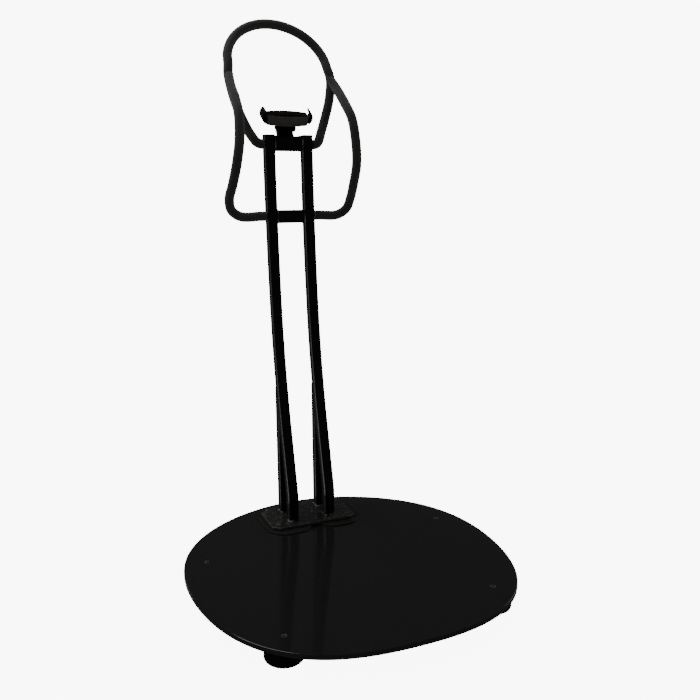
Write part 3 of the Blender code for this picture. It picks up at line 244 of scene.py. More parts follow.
def rounded(corners, steps=6):
    """A closed outline from (x, y, radius) corners: an arc of the radius, tangent to both sides, at each corner."""
    points = np.array([corner[:2] for corner in corners], float)
    before = np.roll(points, 1, axis=0) - points
    after = np.roll(points, -1, axis=0) - points
    before /= np.linalg.norm(before, axis=1)[:, None]
    after /= np.linalg.norm(after, axis=1)[:, None]
    half = np.arccos(np.clip((before * after).sum(axis=1), -1, 1)) / 2
    radius = np.array([corner[2] for corner in corners], float)
    middle = before + after
    middle /= np.linalg.norm(middle, axis=1)[:, None]
    centre = points + middle * (radius / np.sin(half))[:, None]
    start = points + before * (radius / np.tan(half))[:, None] - centre
    end = points + after * (radius / np.tan(half))[:, None] - centre
    share = np.linspace(0.0, 1.0, steps + 1)[None, :, None]
    sweep = (pi - 2 * half)[:, None, None]
    arcs = (np.sin((1 - share) * sweep) * start[:, None] + np.sin(share * sweep) * end[:, None]) / np.sin(sweep)
    return (centre[:, None] + arcs).reshape(-1, 2)


def circle(radius, count=48, centre=(0.0, 0.0)):
    """Points at radius from the centre, anticlockwise: centre + radius * (cos t, sin t)."""
    turn = np.linspace(0.0, 2 * pi, count, endpoint=False)
    return np.stack([centre[0] + radius * np.cos(turn), centre[1] + radius * np.sin(turn)], axis=-1)


def turned_grid(profile, centre, count=64):
    """Rings about a vertical axis: for each (radius, height), centre + radius * (cos t, sin t) at that height."""
    profile = np.array(profile, float)
    turn = np.linspace(0.0, 2 * pi, count, endpoint=False)
    x = centre[0] + profile[:, :1] * np.cos(turn)
    y = centre[1] + profile[:, :1] * np.sin(turn)
    return np.stack([x, y, np.broadcast_to(profile[:, 1:], x.shape)], axis=-1)


# %% [markdown]
# A finish is a node tree, and its arithmetic is easier to read as arithmetic. The Value class wraps a socket, so
# that 1 - mask or mask * 0.2 adds the Math node by itself. Colours go through a Mix node, because a Math node
# would turn them grey. What stays the same all over is set straight on the shader.

# %% A small language for finishes
class Value:
    """A number that varies over a surface, with the arithmetic that the finishes use."""

    def __init__(self, finish, socket):
        self.finish, self.socket = finish, socket

    def maths(self, operation, *others):
        return self.finish.maths(operation, self, *others)

    def __add__(self, other):
        return self.maths("ADD", other)

    def __sub__(self, other):
        return self.maths("SUBTRACT", other)

    def __rsub__(self, other):
        return self.finish.maths("SUBTRACT", other, self)

    def __mul__(self, other):
        return self.maths("MULTIPLY", other)

    __radd__, __rmul__ = __add__, __mul__

    def sine(self):
        return self.maths("SINE")

    def most(self, other):
        return self.maths("MAXIMUM", other)

    def rise(self, low, high):
        """0 below low, 1 above high, and a smooth step between."""
        settings = {"interpolation_type": "SMOOTHSTEP"}
        node = self.finish.node("ShaderNodeMapRange", settings, {"Value": self, "From Min": low, "From Max": high})
        return Value(self.finish, node.outputs["Result"])


class Finish:
    """A material with a Principled shader, built up by naming nodes, their settings and their inputs."""

    def __init__(self, name, **constants):
        self.material = bpy.data.materials.new(name)
        self.material.use_nodes = True
        self.tree = self.material.node_tree
        self.shader = self.tree.nodes["Principled BSDF"]
        self.place = Value(self, self.node("ShaderNodeTexCoord").outputs["Object"])
        for socket, constant in constants.items():
            self.shader.inputs[socket.replace("_", " ")].default_value = constant

    def node(self, kind, settings=None, inputs=None):
        made = self.tree.nodes.new(kind)
        for key, setting in (settings or {}).items():
            setattr(made, key, setting)
        for key, given in (inputs or {}).items():
            self.feed(made.inputs[key], given)
        return made

    def feed(self, socket, given):
        if isinstance(given, Value):
            self.tree.links.new(given.socket, socket)
        else:
            socket.default_value = given

    def maths(self, operation, *given):
        node = self.node("ShaderNodeMath", {"operation": operation}, dict(enumerate(given)))
        return Value(self, node.outputs[0])

    def noise(self, scale, detail=3.0, rough=0.5, where=None):
        inputs = {"Vector": where or self.place, "Scale": scale, "Detail": detail, "Roughness": rough}
        return Value(self, self.node("ShaderNodeTexNoise", None, inputs).outputs["Fac"])

    def cells(self, scale, feature="F1", where=None):
        inputs = {"Vector": where or self.place, "Scale": scale}
        return Value(self, self.node("ShaderNodeTexVoronoi", {"feature": feature}, inputs).outputs["Distance"])

    def stretched(self, x, y, z):
        """The place scaled by these factors, so that a noise runs long in one direction."""
        node = self.node("ShaderNodeVectorMath", {"operation": "MULTIPLY"}, {0: self.place, 1: (x, y, z)})
        return Value(self, node.outputs[0])

    def part(self, vector, axis):
        return Value(self, self.node("ShaderNodeSeparateXYZ", None, {0: vector}).outputs[axis])

    def facing_up(self):
        """1 on faces that look up, 0 on walls and undersides: where dust settles."""
        normal = Value(self, self.node("ShaderNodeNewGeometry").outputs["Normal"])
        return self.part(normal, "Z").rise(0.35, 0.95)

    def colour(self, mask, first, second):
        inputs = {"Factor": mask, "A": (*first, 1.0), "B": (*second, 1.0)}
        node = self.node("ShaderNodeMix", {"data_type": "RGBA"})
        for socket, given in ((node.inputs[0], mask), (node.inputs[6], inputs["A"]), (node.inputs[7], inputs["B"])):
            self.feed(socket, given)
        return Value(self, node.outputs[2])

    def bump(self, height, distance, strength=1.0):
        inputs = {"Height": height, "Distance": distance, "Strength": strength}
        self.feed(self.shader.inputs["Normal"], Value(self, self.node("ShaderNodeBump", None, inputs).outputs[0]))

    def wears(self, **varying):
        for socket, given in varying.items():
            self.feed(self.shader.inputs[socket.replace("_", " ")], given)
        return self


# %% [markdown]
# The board is sprayed with a deep black lacquer and polished. Up close such a surface isn't even: it carries a
# haze of wiping marks, a few specks of dust and hair-thin scratches that follow no direction. They change the
# roughness more than the colour, so most of this finish goes into roughness.

# %% Lacquer, enamels and plastics
def scratches(finish, scale, thin):
    """Thin lines where a stretched noise crosses its middle: 1 on the line and 0 beside it."""
    first = finish.noise(scale, 1.0, 0.4, finish.stretched(1.0, 7.0, 7.0))
    second = finish.noise(scale, 1.0, 0.4, finish.stretched(6.0, 1.0, 6.0))
    lines = [1 - (noise - 0.5).maths("ABSOLUTE").rise(0.0, thin) for noise in (first, second)]
    return lines[0].most(lines[1]) * finish.noise(9.0, 2.0).rise(0.52, 0.72)


def lacquer():
    made = Finish("black_lacquer", Coat_Weight=1.0, Coat_Roughness=0.035, Specular_IOR_Level=0.35)
    haze = made.noise(5.5, 5.0, 0.6).rise(0.35, 0.75)
    specks = (1 - made.cells(140.0).rise(0.0, 0.055)) * made.noise(24.0, 2.0).rise(0.55, 0.7) * made.facing_up()
    lines = scratches(made, 6.0, 0.004)
    base = made.colour(specks * 0.4 + lines * 0.03, (0.0125, 0.0125, 0.0128), (0.10, 0.10, 0.10))
    made.bump(made.noise(90.0, 2.0) + lines * 0.1, 0.00003, 0.5)
    return made.wears(Base_Color=base, Roughness=haze * 0.07 + lines * 0.05 + 0.12)


def enamel(name, dark, grey, gloss, peel):
    """Sprayed enamel: orange-peel ripple in the gloss, dust on what faces up, and tiny chips."""
    made = Finish(name, Coat_Weight=0.6, Coat_Roughness=gloss * 0.6, Specular_IOR_Level=0.5)
    patches = made.noise(14.0, 4.0, 0.6)
    dust = made.facing_up() * made.noise(60.0, 4.0, 0.7).rise(0.45, 0.8)
    chips = (1 - made.cells(210.0).rise(0.02, 0.075)) * made.noise(17.0, 1.0).rise(0.6, 0.68)
    base = made.colour(dust * 0.35 + chips * 0.5, dark, grey)
    made.bump(made.noise(420.0, 2.0) * 0.7 - chips * 0.6, 0.00004, peel)
    return made.wears(Base_Color=base, Roughness=patches * 0.12 + dust * 0.25 + gloss)


def moulded(name, dark, grey, gloss, grain, depth):
    """Moulded plastic or rubber: spark-eroded grain from two sizes of cells, scuffed a little lighter."""
    made = Finish(name, Specular_IOR_Level=0.25)
    grainy = made.cells(grain) * 0.6 + made.noise(grain * 1.7, 3.0, 0.6) * 0.5
    scuffs = made.noise(38.0, 5.0, 0.7).rise(0.5, 0.85) + scratches(made, 30.0, 0.02) * 0.3
    made.bump(grainy, depth, 0.6)
    return made.wears(Base_Color=made.colour(scuffs * 0.5, dark, grey), Roughness=grainy * 0.15 + scuffs * 0.1 + gloss)


# %% [markdown]
# The handle is covered with a knitted sleeve of charcoal yarn. Two sets of strands wind round the tube in
# opposite directions and pass over and under each other, so the height is the greater of two sine ridges, one
# for each winding. The strands need the sleeve's own map, since a pattern fixed in space would shear on bends.

# %% Sleeve, rubber ribs and steel
STRANDS = 46
STRAND_PITCH = 0.0019


def sleeve_cloth():
    made = Finish("woven_sleeve", Roughness=0.9, Sheen_Weight=0.25, Sheen_Roughness=0.5, Specular_IOR_Level=0.25)
    run = Value(made, made.node("ShaderNodeUVMap", {"uv_map": "run"}).outputs["UV"])
    round_it, along = made.part(run, "X") * (2 * pi * STRANDS), made.part(run, "Y") * (2 * pi / STRAND_PITCH)
    right, left = (round_it + along).sine(), (round_it - along).sine()
    ridges = right.most(left) * 0.5 + 0.5
    fibres = made.noise(2600.0, 2.0, 0.7)
    worn = made.noise(7.0, 3.0, 0.6).rise(0.4, 0.75)
    height = ridges + fibres * 0.35
    made.bump(height, 0.00028, 0.8)
    # Painted shade: the ridge height lightens the strand crests and darkens the grooves between them. Fibres and worn
    # patches add the yarn's own uneven tone.
    groove_shade_fibre_and_wear = (ridges * 0.55 + fibres * 0.35 + worn * 0.3).rise(0.15, 1.15)
    base = made.colour(groove_shade_fibre_and_wear, (0.0030, 0.0030, 0.0027), (0.030, 0.030, 0.026))
    return made.wears(Base_Color=base, Roughness=0.95 - ridges * 0.12)


def steel(name, colour, shade, gloss, grain, metal=1.0):
    """Plated steel: fine turning marks, and a mottled film of oil or zinc."""
    made = Finish(name, Metallic=metal)
    marks = made.noise(grain, 2.0, 0.5, made.stretched(1.0, 1.0, 12.0))
    film = made.noise(120.0, 4.0, 0.6).rise(0.35, 0.7)
    made.bump(marks, 0.00002, 0.5)
    return made.wears(Base_Color=made.colour(film, colour, shade), Roughness=marks * 0.15 + film * 0.1 + gloss)


finishes = {
    "gloss_board": lacquer(),
    "black_enamel": enamel("black_enamel", (0.0022, 0.0022, 0.0024), (0.07, 0.07, 0.07), 0.13, 0.45),
    "plate_enamel": enamel("plate_enamel", (0.020, 0.0190, 0.0185), (0.15, 0.14, 0.13), 0.12, 0.35),
    "black_rubber": moulded("black_rubber", (0.0030, 0.0030, 0.0030), (0.030, 0.029, 0.027), 0.62, 900.0, 0.00012),
    "grey_rubber": moulded("grey_rubber", (0.016, 0.0135, 0.012), (0.060, 0.050, 0.043), 0.36, 700.0, 0.00010),
    "woven_sleeve": sleeve_cloth(),
    "black_plastic": moulded("black_plastic", (0.0018, 0.0018, 0.0018), (0.010, 0.010, 0.010), 0.30, 1500.0, 0.00006),
    "gloss_plastic": enamel("gloss_plastic", (0.0040, 0.0040, 0.0045), (0.07, 0.07, 0.07), 0.07, 0.1),
    "lip_rubber": moulded("lip_rubber", (0.050, 0.048, 0.044), (0.105, 0.100, 0.090), 0.40, 1200.0, 0.00005),
    "dark_steel": steel("dark_steel", (0.065, 0.065, 0.070), (0.14, 0.14, 0.15), 0.26, 900.0, 0.6),
    "bright_steel": steel("bright_steel", (0.52, 0.52, 0.53), (0.66, 0.66, 0.64), 0.24, 700.0),
}


def weld_metal():
    """Painted weld with scattered light grey flecks that are half metallic."""
    made = Finish("weld_enamel", Specular_IOR_Level=0.5)
    light_flecks = made.noise(330.0, 3.0, 0.6).rise(0.50, 0.60) * made.noise(45.0, 2.0).rise(0.42, 0.55)
    made.bump(made.noise(900.0, 2.0), 0.0001, 0.7)
    base = made.colour(light_flecks, (0.006, 0.006, 0.006), (0.55, 0.54, 0.52))
    return made.wears(Base_Color=base, Roughness=0.42 - light_flecks * 0.12, Metallic=light_flecks * 0.5)


weld_finish = weld_metal()
slot_of = {row["node"]: row["material_slot"] for row in record["subparts"]}
print("finishes", len(finishes) + 1)


def dress(piece, slot, body=FRAME_BODY, stands_for=(), finish=None):
    """Gives a new piece its finish, its body and the frame's nodes that it stands for."""
    piece.data.materials.clear()
    piece.data.materials.append((finish or finishes[slot]).material)
    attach(piece, body)
    if stands_for:
        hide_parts(*stands_for)
    return piece


# %% [markdown]
# The floor is a plain pale sheet that glows, so that it runs into the backdrop, and it has no mirror image.

# %% Floor finish
floor_finish = Finish("pale_floor", Roughness=0.9, Specular_IOR_Level=0.0, Emission_Strength=8.5)
floor_finish.shader.inputs["Emission Color"].default_value = (1.0, 1.0, 1.0, 1.0)
floor_tone = floor_finish.noise(1.5, 3.0).rise(0.2, 0.8)
floor_finish.wears(Base_Color=floor_finish.colour(floor_tone, (PALE,) * 3, (PALE + 0.01,) * 3))
floor_mesh.materials.append(floor_finish.material)

# %% [markdown]
# The board is nearly round. Towards the user its radius swells at the two front corners and shrinks between
# them, which a cosine of four times the bearing gives. Its top and bottom edges are rolled over by two
# millimetres. The nine holes are cut afterwards, so that the screws and bolts sit in real holes.

# %% Board
(board_low, board_high) = (np.array(corner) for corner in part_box("deck_board"))
BOARD_RADIUS = 0.4425
BOARD_SQUARENESS = 0.036
board_middle_y = board_high[1] - BOARD_RADIUS
FIT = 0.0004  # clearance round a shank


def board_outline(count=480):
    """Radius R * (1 - q * (1 - cos b) / 2 * cos 4b) at bearing b from the mast side, fitted to the frame's box."""
    bearing = np.linspace(0.0, -2 * pi, count, endpoint=False)
    radius = BOARD_RADIUS * (1 - BOARD_SQUARENESS * (1 - np.cos(bearing)) / 2 * np.cos(4 * bearing))
    outline = np.stack([radius * np.sin(bearing), radius * np.cos(bearing)], axis=-1)
    middle, half = (board_low[:2] + board_high[:2]) / 2, (board_high[:2] - board_low[:2]) / 2
    low, high = outline.min(axis=0), outline.max(axis=0)
    return middle + (outline - (low + high) / 2) / ((high - low) / 2) * half


def countersink(centre, top, head, shank, depth):
    """A cutter for a sunk screw: a cone from the head's rim down to the shank, then straight."""
    rows = [(head + 0.002, top + 0.002), (head, top), (shank, top - (head - shank)), (shank, top - depth)]
    return skin("cutter", turned_grid(rows, centre, 40))


def drill(centre, low, high, radius):
    return skin("cutter", turned_grid([(radius, high), (radius, low)], centre, 32))


def middle_of(node):
    low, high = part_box(node)
    return (low[0] + high[0]) / 2, (low[1] + high[1]) / 2


FEET = ("rear", "side_left", "side_right", "front_left", "front_right")
BOLTS = ("front_left", "front_right", "rear_left", "rear_right")
SCREW_HEAD, SCREW_SHANK, BOLT_SHANK = 0.0078, 0.004, 0.004
foot_middles = {place: middle_of(f"foot_{place}") for place in FEET}
bolt_middles = {place: middle_of(f"mast_bolt_{place}") for place in BOLTS}

board = skin("board", slab_grid(board_outline(), levels_of(board_low[2], board_high[2], 0.002, 0.002)), sharp=40.0)
cutters = [countersink(c, board_high[2], SCREW_HEAD + FIT, SCREW_SHANK + FIT, 0.03) for c in foot_middles.values()]
cutters += [drill(c, board_low[2] - 0.01, board_high[2] + 0.01, BOLT_SHANK + FIT) for c in bolt_middles.values()]
dress(bored(board, cutters, 40.0), "gloss_board", stands_for=["deck_board"])
print("board", len(board.data.polygons), "faces")

# %% [markdown]
# Screws and bolts are turned parts with a six-sided socket. One grid does both: the outer rings are round, and
# the rings of the socket follow a hexagon, whose radius at a turn t is its flat distance over the cosine of the
# angle to the nearest flat.

# %% Screws and bolts
def socket_head(name, centre, rows, socket, floor_height, count=72):
    """A turned part from (radius, height) rows, ending in a hexagonal socket that goes down to floor_height."""
    round_rings = turned_grid(rows, centre, count)
    turn = np.linspace(0.0, 2 * pi, count, endpoint=False)
    reach = socket * cos(pi / 6) / np.cos((turn + pi / 6) % (pi / 3) - pi / 6)
    hexagon = np.stack([centre[0] + reach * np.cos(turn), centre[1] + reach * np.sin(turn)], axis=-1)
    top = rows[-1][1]
    heights = [(1.08, top), (1.0, top - 0.0003), (0.98, floor_height)]
    middle = np.array(centre)
    sunk = [np.column_stack([middle + (hexagon - middle) * share, np.full(count, z)]) for share, z in heights]
    return skin(name, np.concatenate([round_rings, np.stack(sunk)]), sharp=28.0)


def dome(radius, low, rise, steps=6):
    """(radius, height) rows of a button head, from its rim in towards its flat top."""
    angle = np.linspace(0.0, 0.36 * pi, steps)
    return [(radius * cos(a), low + rise * sin(a) / sin(0.36 * pi)) for a in angle]


for place, centre in foot_middles.items():
    low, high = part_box(f"foot_screw_{place}")
    rows = [(SCREW_SHANK, low[2]), (SCREW_SHANK, high[2] - (SCREW_HEAD - SCREW_SHANK) - 0.0004)]
    rows += [(SCREW_HEAD - 0.0003, high[2] - 0.0005), (SCREW_HEAD, high[2] - 0.0003), (SCREW_HEAD - 0.0003, high[2])]
    screw = socket_head(f"deck_screw_{place}", centre, rows, 0.0029, high[2] - 0.0025)
    dress(screw, "dark_steel", stands_for=[f"foot_screw_{place}"])

for place, centre in bolt_middles.items():
    low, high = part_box(f"mast_bolt_{place}")
    seat = high[2] - 0.0042
    rows = [(BOLT_SHANK, low[2]), (BOLT_SHANK, seat), (0.0070, seat), (0.0072, seat + 0.0003)]
    rows += dome(0.0072, seat + 0.0006, high[2] - seat - 0.0006)
    bolt = socket_head(f"plate_bolt_{place}", centre, rows, 0.0024, high[2] - 0.0025)
    dress(bolt, "dark_steel", stands_for=[f"mast_bolt_{place}"])
print("screws", len(foot_middles), "bolts", len(bolt_middles))

# %% [markdown]
# The feet are moulded rubber pucks. The rim that touches the floor is rounded, two shallow grooves let the wall
# flex, and a pocket in the top holds the steel bush. The profile goes up the outside, over the rim and down into
# the pocket, so that the puck is one closed skin.

# %% Feet
def foot_profile(radius, height, pocket, depth):
    """(radius, height) rows: underside, quarter-circle rim, wall with two grooves, top, and the pocket."""
    angle = np.linspace(0.0, pi / 2, 9)
    rim = [(radius - 0.010 + 0.010 * sin(a), 0.010 * (1 - cos(a))) for a in angle]
    wall = np.linspace(0.0105, height - 0.002, 40)
    groove = sum(np.exp(-(((wall - at) / 0.0013) ** 2)) for at in (0.019, 0.031))
    sides = [(radius - 0.0013 * g, z) for z, g in zip(wall, groove)]
    top = [(radius - 0.0006, height - 0.0006), (radius - 0.0020, height), (pocket, height), (pocket, height - depth)]
    bore = [(0.0049, height - depth), (0.0049, height - depth - 0.001)]
    return [(0.012, 0.0012), (0.014, 0.0), *rim, *sides, *top, *bore]


for place, centre in foot_middles.items():
    low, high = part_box(f"foot_{place}")
    profile = foot_profile((high[0] - low[0]) / 2, high[2], 0.0093, 0.0206)
    dress(skin(f"puck_{place}", turned_grid(profile, centre, 96)), "black_rubber", stands_for=[f"foot_{place}"])
print("feet", len(foot_middles))

# %% [markdown]
# Under the mast lie a rubber pad, cut with two lobes, and a thick steel plate with clipped corners. Both are
# slabs with rolled edges, bored for the four bolts.

# %% Pad and foot plate
def symmetric(half):
    """A whole outline, anticlockwise, from the corners of its left half, listed from front middle to rear."""
    left = list(half)
    right = [(-x, y, radius) for x, y, radius in reversed(left) if x != 0.0]
    return rounded((left + right)[::-1], 10)


plate_low, plate_high = (np.array(corner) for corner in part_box("mast_foot_plate"))
pad_low, pad_high = (np.array(corner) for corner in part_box("mast_pad"))
side, front, back = plate_high[0], plate_low[1], plate_high[1]
plate_half = [(-side + 0.019, front, 0.003), (-side, front + 0.0152, 0.003)]
plate_half += [(-side, back - 0.034, 0.004), (-side + 0.034, back, 0.004)]
plate = skin("foot_plate", slab_grid(symmetric(plate_half), levels_of(plate_low[2], plate_high[2], 0.0008, 0.0012)))
side, front, back = pad_high[0], pad_low[1], pad_high[1]
pad_half = [(0.0, front + 0.043, 0.012), (-0.043, front, 0.045), (-side, front, 0.062), (-side, back, 0.062)]
pad = skin("pad", slab_grid(symmetric(pad_half), levels_of(pad_low[2], pad_high[2], 0.0006, 0.0016)))
for slab, slot, node in ((plate, "plate_enamel", "mast_foot_plate"), (pad, "grey_rubber", "mast_pad")):
    holes = [drill(c, pad_low[2] - 0.01, plate_high[2] + 0.01, BOLT_SHANK + FIT) for c in bolt_middles.values()]
    dress(bored(slab, holes), slot, stands_for=[node])
print("plate", plate_high - plate_low, "pad", pad_high - pad_low)

# %% [markdown]
# The mast is two lengths of square tube, bent back near the floor and then eased upright again. A bend is a
# length over which the lean changes evenly. So the lean is a broken line over the length, and the centreline is
# the running sum of its sine and cosine. The rounded square is stood across that line at every station, first
# the outer wall going up and then the inner wall coming down, which closes the tube's wall on itself.

# %% Mast tubes
TUBE, WALL, CORNER = 0.030, 0.002, 0.003
MAST_RUNS = np.array([(0.066, 0.0), (0.021, 14.8), (0.1965, 0.0), (0.362, -8.3), (0.491, -4.4)])
tube_low, tube_high = (np.array(corner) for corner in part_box("mast_tube_left"))
MAST_X = -(tube_low[0] + tube_high[0]) / 2
MAST_FOOT = (tube_low[1] + TUBE / 2, tube_low[2])


def mast_line(step=0.004):
    """y, z and lean at stations along the mast: lean runs straight between bends, y and z sum its sine and cosine."""
    knots = np.concatenate([[0.0], np.cumsum(MAST_RUNS[:, 0])])
    leans = np.radians(np.concatenate([[0.0], np.cumsum(MAST_RUNS[:, 1])]))
    length = np.unique(np.concatenate([np.arange(0.0, knots[-1], step), knots]))
    lean = np.interp(length, knots, leans)
    middle = (lean[1:] + lean[:-1]) / 2
    y = MAST_FOOT[0] + np.concatenate([[0.0], np.cumsum(np.diff(length) * np.sin(middle))])
    z = MAST_FOOT[1] + np.concatenate([[0.0], np.cumsum(np.diff(length) * np.cos(middle))])
    return y, z, lean


def square(size, corner, steps=5):
    half = size / 2
    return rounded([(-half, -half, corner), (half, -half, corner), (half, half, corner), (-half, half, corner)], steps)


def stood_across(section, x, y, z, lean):
    """The section's first axis along x and its second square to the leaning line, at every station."""
    across = section[None, :, 1]
    points_x = np.broadcast_to(x + section[None, :, 0], (len(y), len(section)))
    points_y = y[:, None] + across * np.cos(lean)[:, None]
    points_z = z[:, None] - across * np.sin(lean)[:, None]
    return np.stack([points_x, points_y, points_z], -1)


def tube_grid(x, y, z, lean, grow=0.0):
    """The outer wall up and the inner wall down again, as one run of rings."""
    outer = stood_across(square(TUBE + 2 * grow, CORNER + grow), x, y, z, lean)
    inner = stood_across(square(TUBE - 2 * WALL, CORNER - WALL), x, y, z, lean)
    return np.concatenate([outer, inner[::-1]])


mast_y, mast_z, mast_lean = mast_line()
for name, sign in (("left", -1), ("right", 1)):
    tube = skin(f"mast_{name}", tube_grid(sign * MAST_X, mast_y, mast_z, mast_lean), closed=True)
    dress(tube, "black_enamel", stands_for=[f"mast_tube_{name}"])
print("mast top", mast_y[-1], mast_z[-1], "frame says", tube_high)

# %% [markdown]
# Behind each tube stands a short strut of the same tube. It leans by a degree into the mast and is notched where
# the two meet, so a copy of the mast tube, swollen by a third of a millimetre, is cut out of it. Its top is
# closed by a plate with sloped edges.

# %% Struts
STRUT_LEAN, STRUT_LENGTH, GAP = radians(1.3), 0.390, 0.0003
strut_low, strut_high = (np.array(corner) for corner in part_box("mast_strut_left"))
strut_foot_y = strut_high[1] - TUBE / 2 * cos(STRUT_LEAN) - STRUT_LENGTH * sin(STRUT_LEAN)


def strut_grid(x):
    """A leaning closed tube: its outer rings, a sloped top, and the bore going back down from under the top."""
    length = np.array([0.0, 0.05, STRUT_LENGTH - 0.004, STRUT_LENGTH - 0.002, STRUT_LENGTH])
    size = np.array([TUBE, TUBE, TUBE, TUBE - 0.0025, TUBE - 0.008])
    foot_z = strut_low[2] + TUBE / 2 * sin(STRUT_LEAN)
    outer = [strut_ring(x, s, foot_z, square(width, CORNER)) for s, width in zip(length, size)]
    bore = [strut_ring(x, s, foot_z, square(TUBE - 2 * WALL, CORNER - WALL)) for s in (STRUT_LENGTH - 0.003, 0.0)]
    return np.stack(outer), np.stack(bore)


def strut_ring(x, length, foot_z, section):
    lean = np.array([STRUT_LEAN])
    y = np.array([strut_foot_y + length * sin(STRUT_LEAN)])
    z = np.array([foot_z + length * cos(STRUT_LEAN)])
    return stood_across(section, x, y, z, lean)[0]


for name, sign in (("left", -1), ("right", 1)):
    outer, bore = strut_grid(sign * MAST_X)
    strut = skin(f"strut_{name}", outer)
    bore[-1, :, 2] -= 0.01
    mast_shape = stood_across(square(TUBE + 2 * GAP, CORNER), sign * MAST_X, mast_y, mast_z, mast_lean)
    bored(strut, [skin("cutter", bore), skin("cutter", mast_shape)])
    dress(strut, "black_enamel", stands_for=[f"mast_strut_{name}"])
print("struts to", strut_high[2])

# %% [markdown]
# Two flat bars join the tubes, and a plastic cap closes each tube. The bars are rounded rectangles carried along
# x. A cap is a plug, a lip and a softly crowned top, stacked as levels of a rounded square along the tube.

# %% Crossbars and caps
BAR_HEIGHT, BAR_DEPTH = 0.038, 0.028


def bar_grid(centre_y, centre_z, lean, end):
    """A rounded rectangle turned by the lean, carried along x; the outer wall out and the inner wall back."""
    def ring(grow):
        a, b = BAR_DEPTH / 2 - grow, BAR_HEIGHT / 2 - grow
        corner = max(CORNER - grow, 0.001)
        flat = rounded([(-a, -b, corner), (a, -b, corner), (a, b, corner), (-a, b, corner)], 5)
        y = centre_y + flat[:, 0] * cos(lean) + flat[:, 1] * sin(lean)
        z = centre_z - flat[:, 0] * sin(lean) + flat[:, 1] * cos(lean)
        return y, z
    rings = [np.column_stack([np.full(24, x), *ring(grow)]) for x, grow in
             ((-end, 0.0), (end, 0.0), (end, WALL), (-end, WALL))]
    return np.stack(rings)


def lean_at(height):
    return float(np.interp(height, mast_z, mast_lean))


for name, leans in (("crossbar_upper", False), ("crossbar_lower", True)):
    low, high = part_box(name)
    centre = ((low[1] + high[1]) / 2, (low[2] + high[2]) / 2)
    lean = lean_at(centre[1]) if leans else 0.0
    bar = skin(name.replace("crossbar", "bar"), bar_grid(*centre, lean, high[0]), closed=True)
    if name == "crossbar_upper":
        middles = [middle_of(f"bracket_screw_{side}") for side in ("left", "right")]
        holes = [drill(middle, low[2] + 0.02, high[2] + 0.01, 0.0024) for middle in middles]
        bored(bar, holes)
    dress(bar, "black_enamel", stands_for=[name])

for name, sign in (("left", -1), ("right", 1)):
    rises = [(-0.012, TUBE - 2 * WALL - 0.0016), (-0.001, TUBE - 2 * WALL - 0.0012), (0.0003, TUBE - 2 * WALL - 0.0012)]
    rises += [(0.0003, TUBE - 0.0004), (0.0008, TUBE), (0.0015, TUBE - 0.0002)]
    rises += [(0.0021, TUBE - 0.0014), (0.0024, TUBE - 0.005)]
    up = np.array([sin(mast_lean[-1]), cos(mast_lean[-1])])
    top = mast_lean[-1:]
    rings = [stood_across(square(size, 0.002), sign * MAST_X, mast_y[-1:] + up[0] * h, mast_z[-1:] + up[1] * h, top)[0]
             for h, size in rises]
    dress(skin(f"cap_{name}", np.stack(rings)), "black_plastic", stands_for=[f"mast_cap_{name}"])
print("bars and caps done")

# %% [markdown]
# The handle is bent round tube. A few points give its run, and a cubic through them with tangents weighted by
# the square root of each gap, the centripetal rule, keeps it from overshooting. The section is a circle square to
# the run, so each station needs two directions across it. Both come from one fixed direction that the run never
# follows, which spares a walk along the curve.

# %% Handle runs
board_top = board_high[2]
shift_y = board_middle_y
MAST_SIDE = MAST_X + TUBE / 2
SLEEVE_RADIUS, HANDLE_RADIUS, HANDLE_WALL, SLEEVE_END = 0.0140, 0.0125, 0.0016, 0.002


def through(points, steps=14):
    """A smooth run through the points: cubic Hermite pieces, tangents from gaps to the power of one half."""
    points = np.array(points, float)
    ends = np.concatenate([[2 * points[0] - points[1]], points, [2 * points[-1] - points[-2]]])
    a, b, c, d = ends[:-3], ends[1:-2], ends[2:-1], ends[3:]
    ta, tb, tc = (np.sqrt(np.linalg.norm(gap, axis=1))[:, None] for gap in (b - a, c - b, d - c))
    leave = ((b - a) / ta - (c - a) / (ta + tb) + (c - b) / tb) * tb
    arrive = ((c - b) / tb - (d - b) / (tb + tc) + (d - c) / tc) * tb
    t = np.linspace(0.0, 1.0, steps, endpoint=False)[None, :, None]
    b, c, leave, arrive = (part[:, None] for part in (b, c, leave, arrive))
    run = b * (2 * t**3 - 3 * t**2 + 1) + leave * (t**3 - 2 * t**2 + t)
    run = run + c * (3 * t**2 - 2 * t**3) + arrive * (t**3 - t**2)
    return np.concatenate([run.reshape(-1, 3), points[-1:]])


def round_grid(run, radius, fixed, count=40):
    """Circles square to the run: one way across is tangent x fixed, the other is tangent x that; radius may vary."""
    tangent = np.gradient(run, axis=0)
    tangent /= np.linalg.norm(tangent, axis=1)[:, None]
    side = np.cross(tangent, fixed)
    side /= np.linalg.norm(side, axis=1)[:, None]
    up = np.cross(tangent, side)
    turn = np.linspace(0.0, 2 * pi, count, endpoint=False)[None, :, None]
    radius = np.broadcast_to(radius, (len(run),))[:, None, None]
    return run[:, None] + radius * (side[:, None] * np.cos(turn) + up[:, None] * np.sin(turn))


def wall_grid(run, outer, inner, fixed, count=40):
    """A round tube's outer skin up the run and its inner skin back again."""
    return np.concatenate([round_grid(run, outer, fixed, count), round_grid(run, inner, fixed, count)[::-1]])


def pulled_in(run, start, end):
    """The run without its first and last stretches of these lengths."""
    along = np.concatenate([[0.0], np.cumsum(np.linalg.norm(np.diff(run, axis=0), axis=1))])
    kept = np.linspace(start, along[-1] - end, len(run))
    return np.stack([np.interp(kept, along, run[:, axis]) for axis in range(3)], axis=-1)


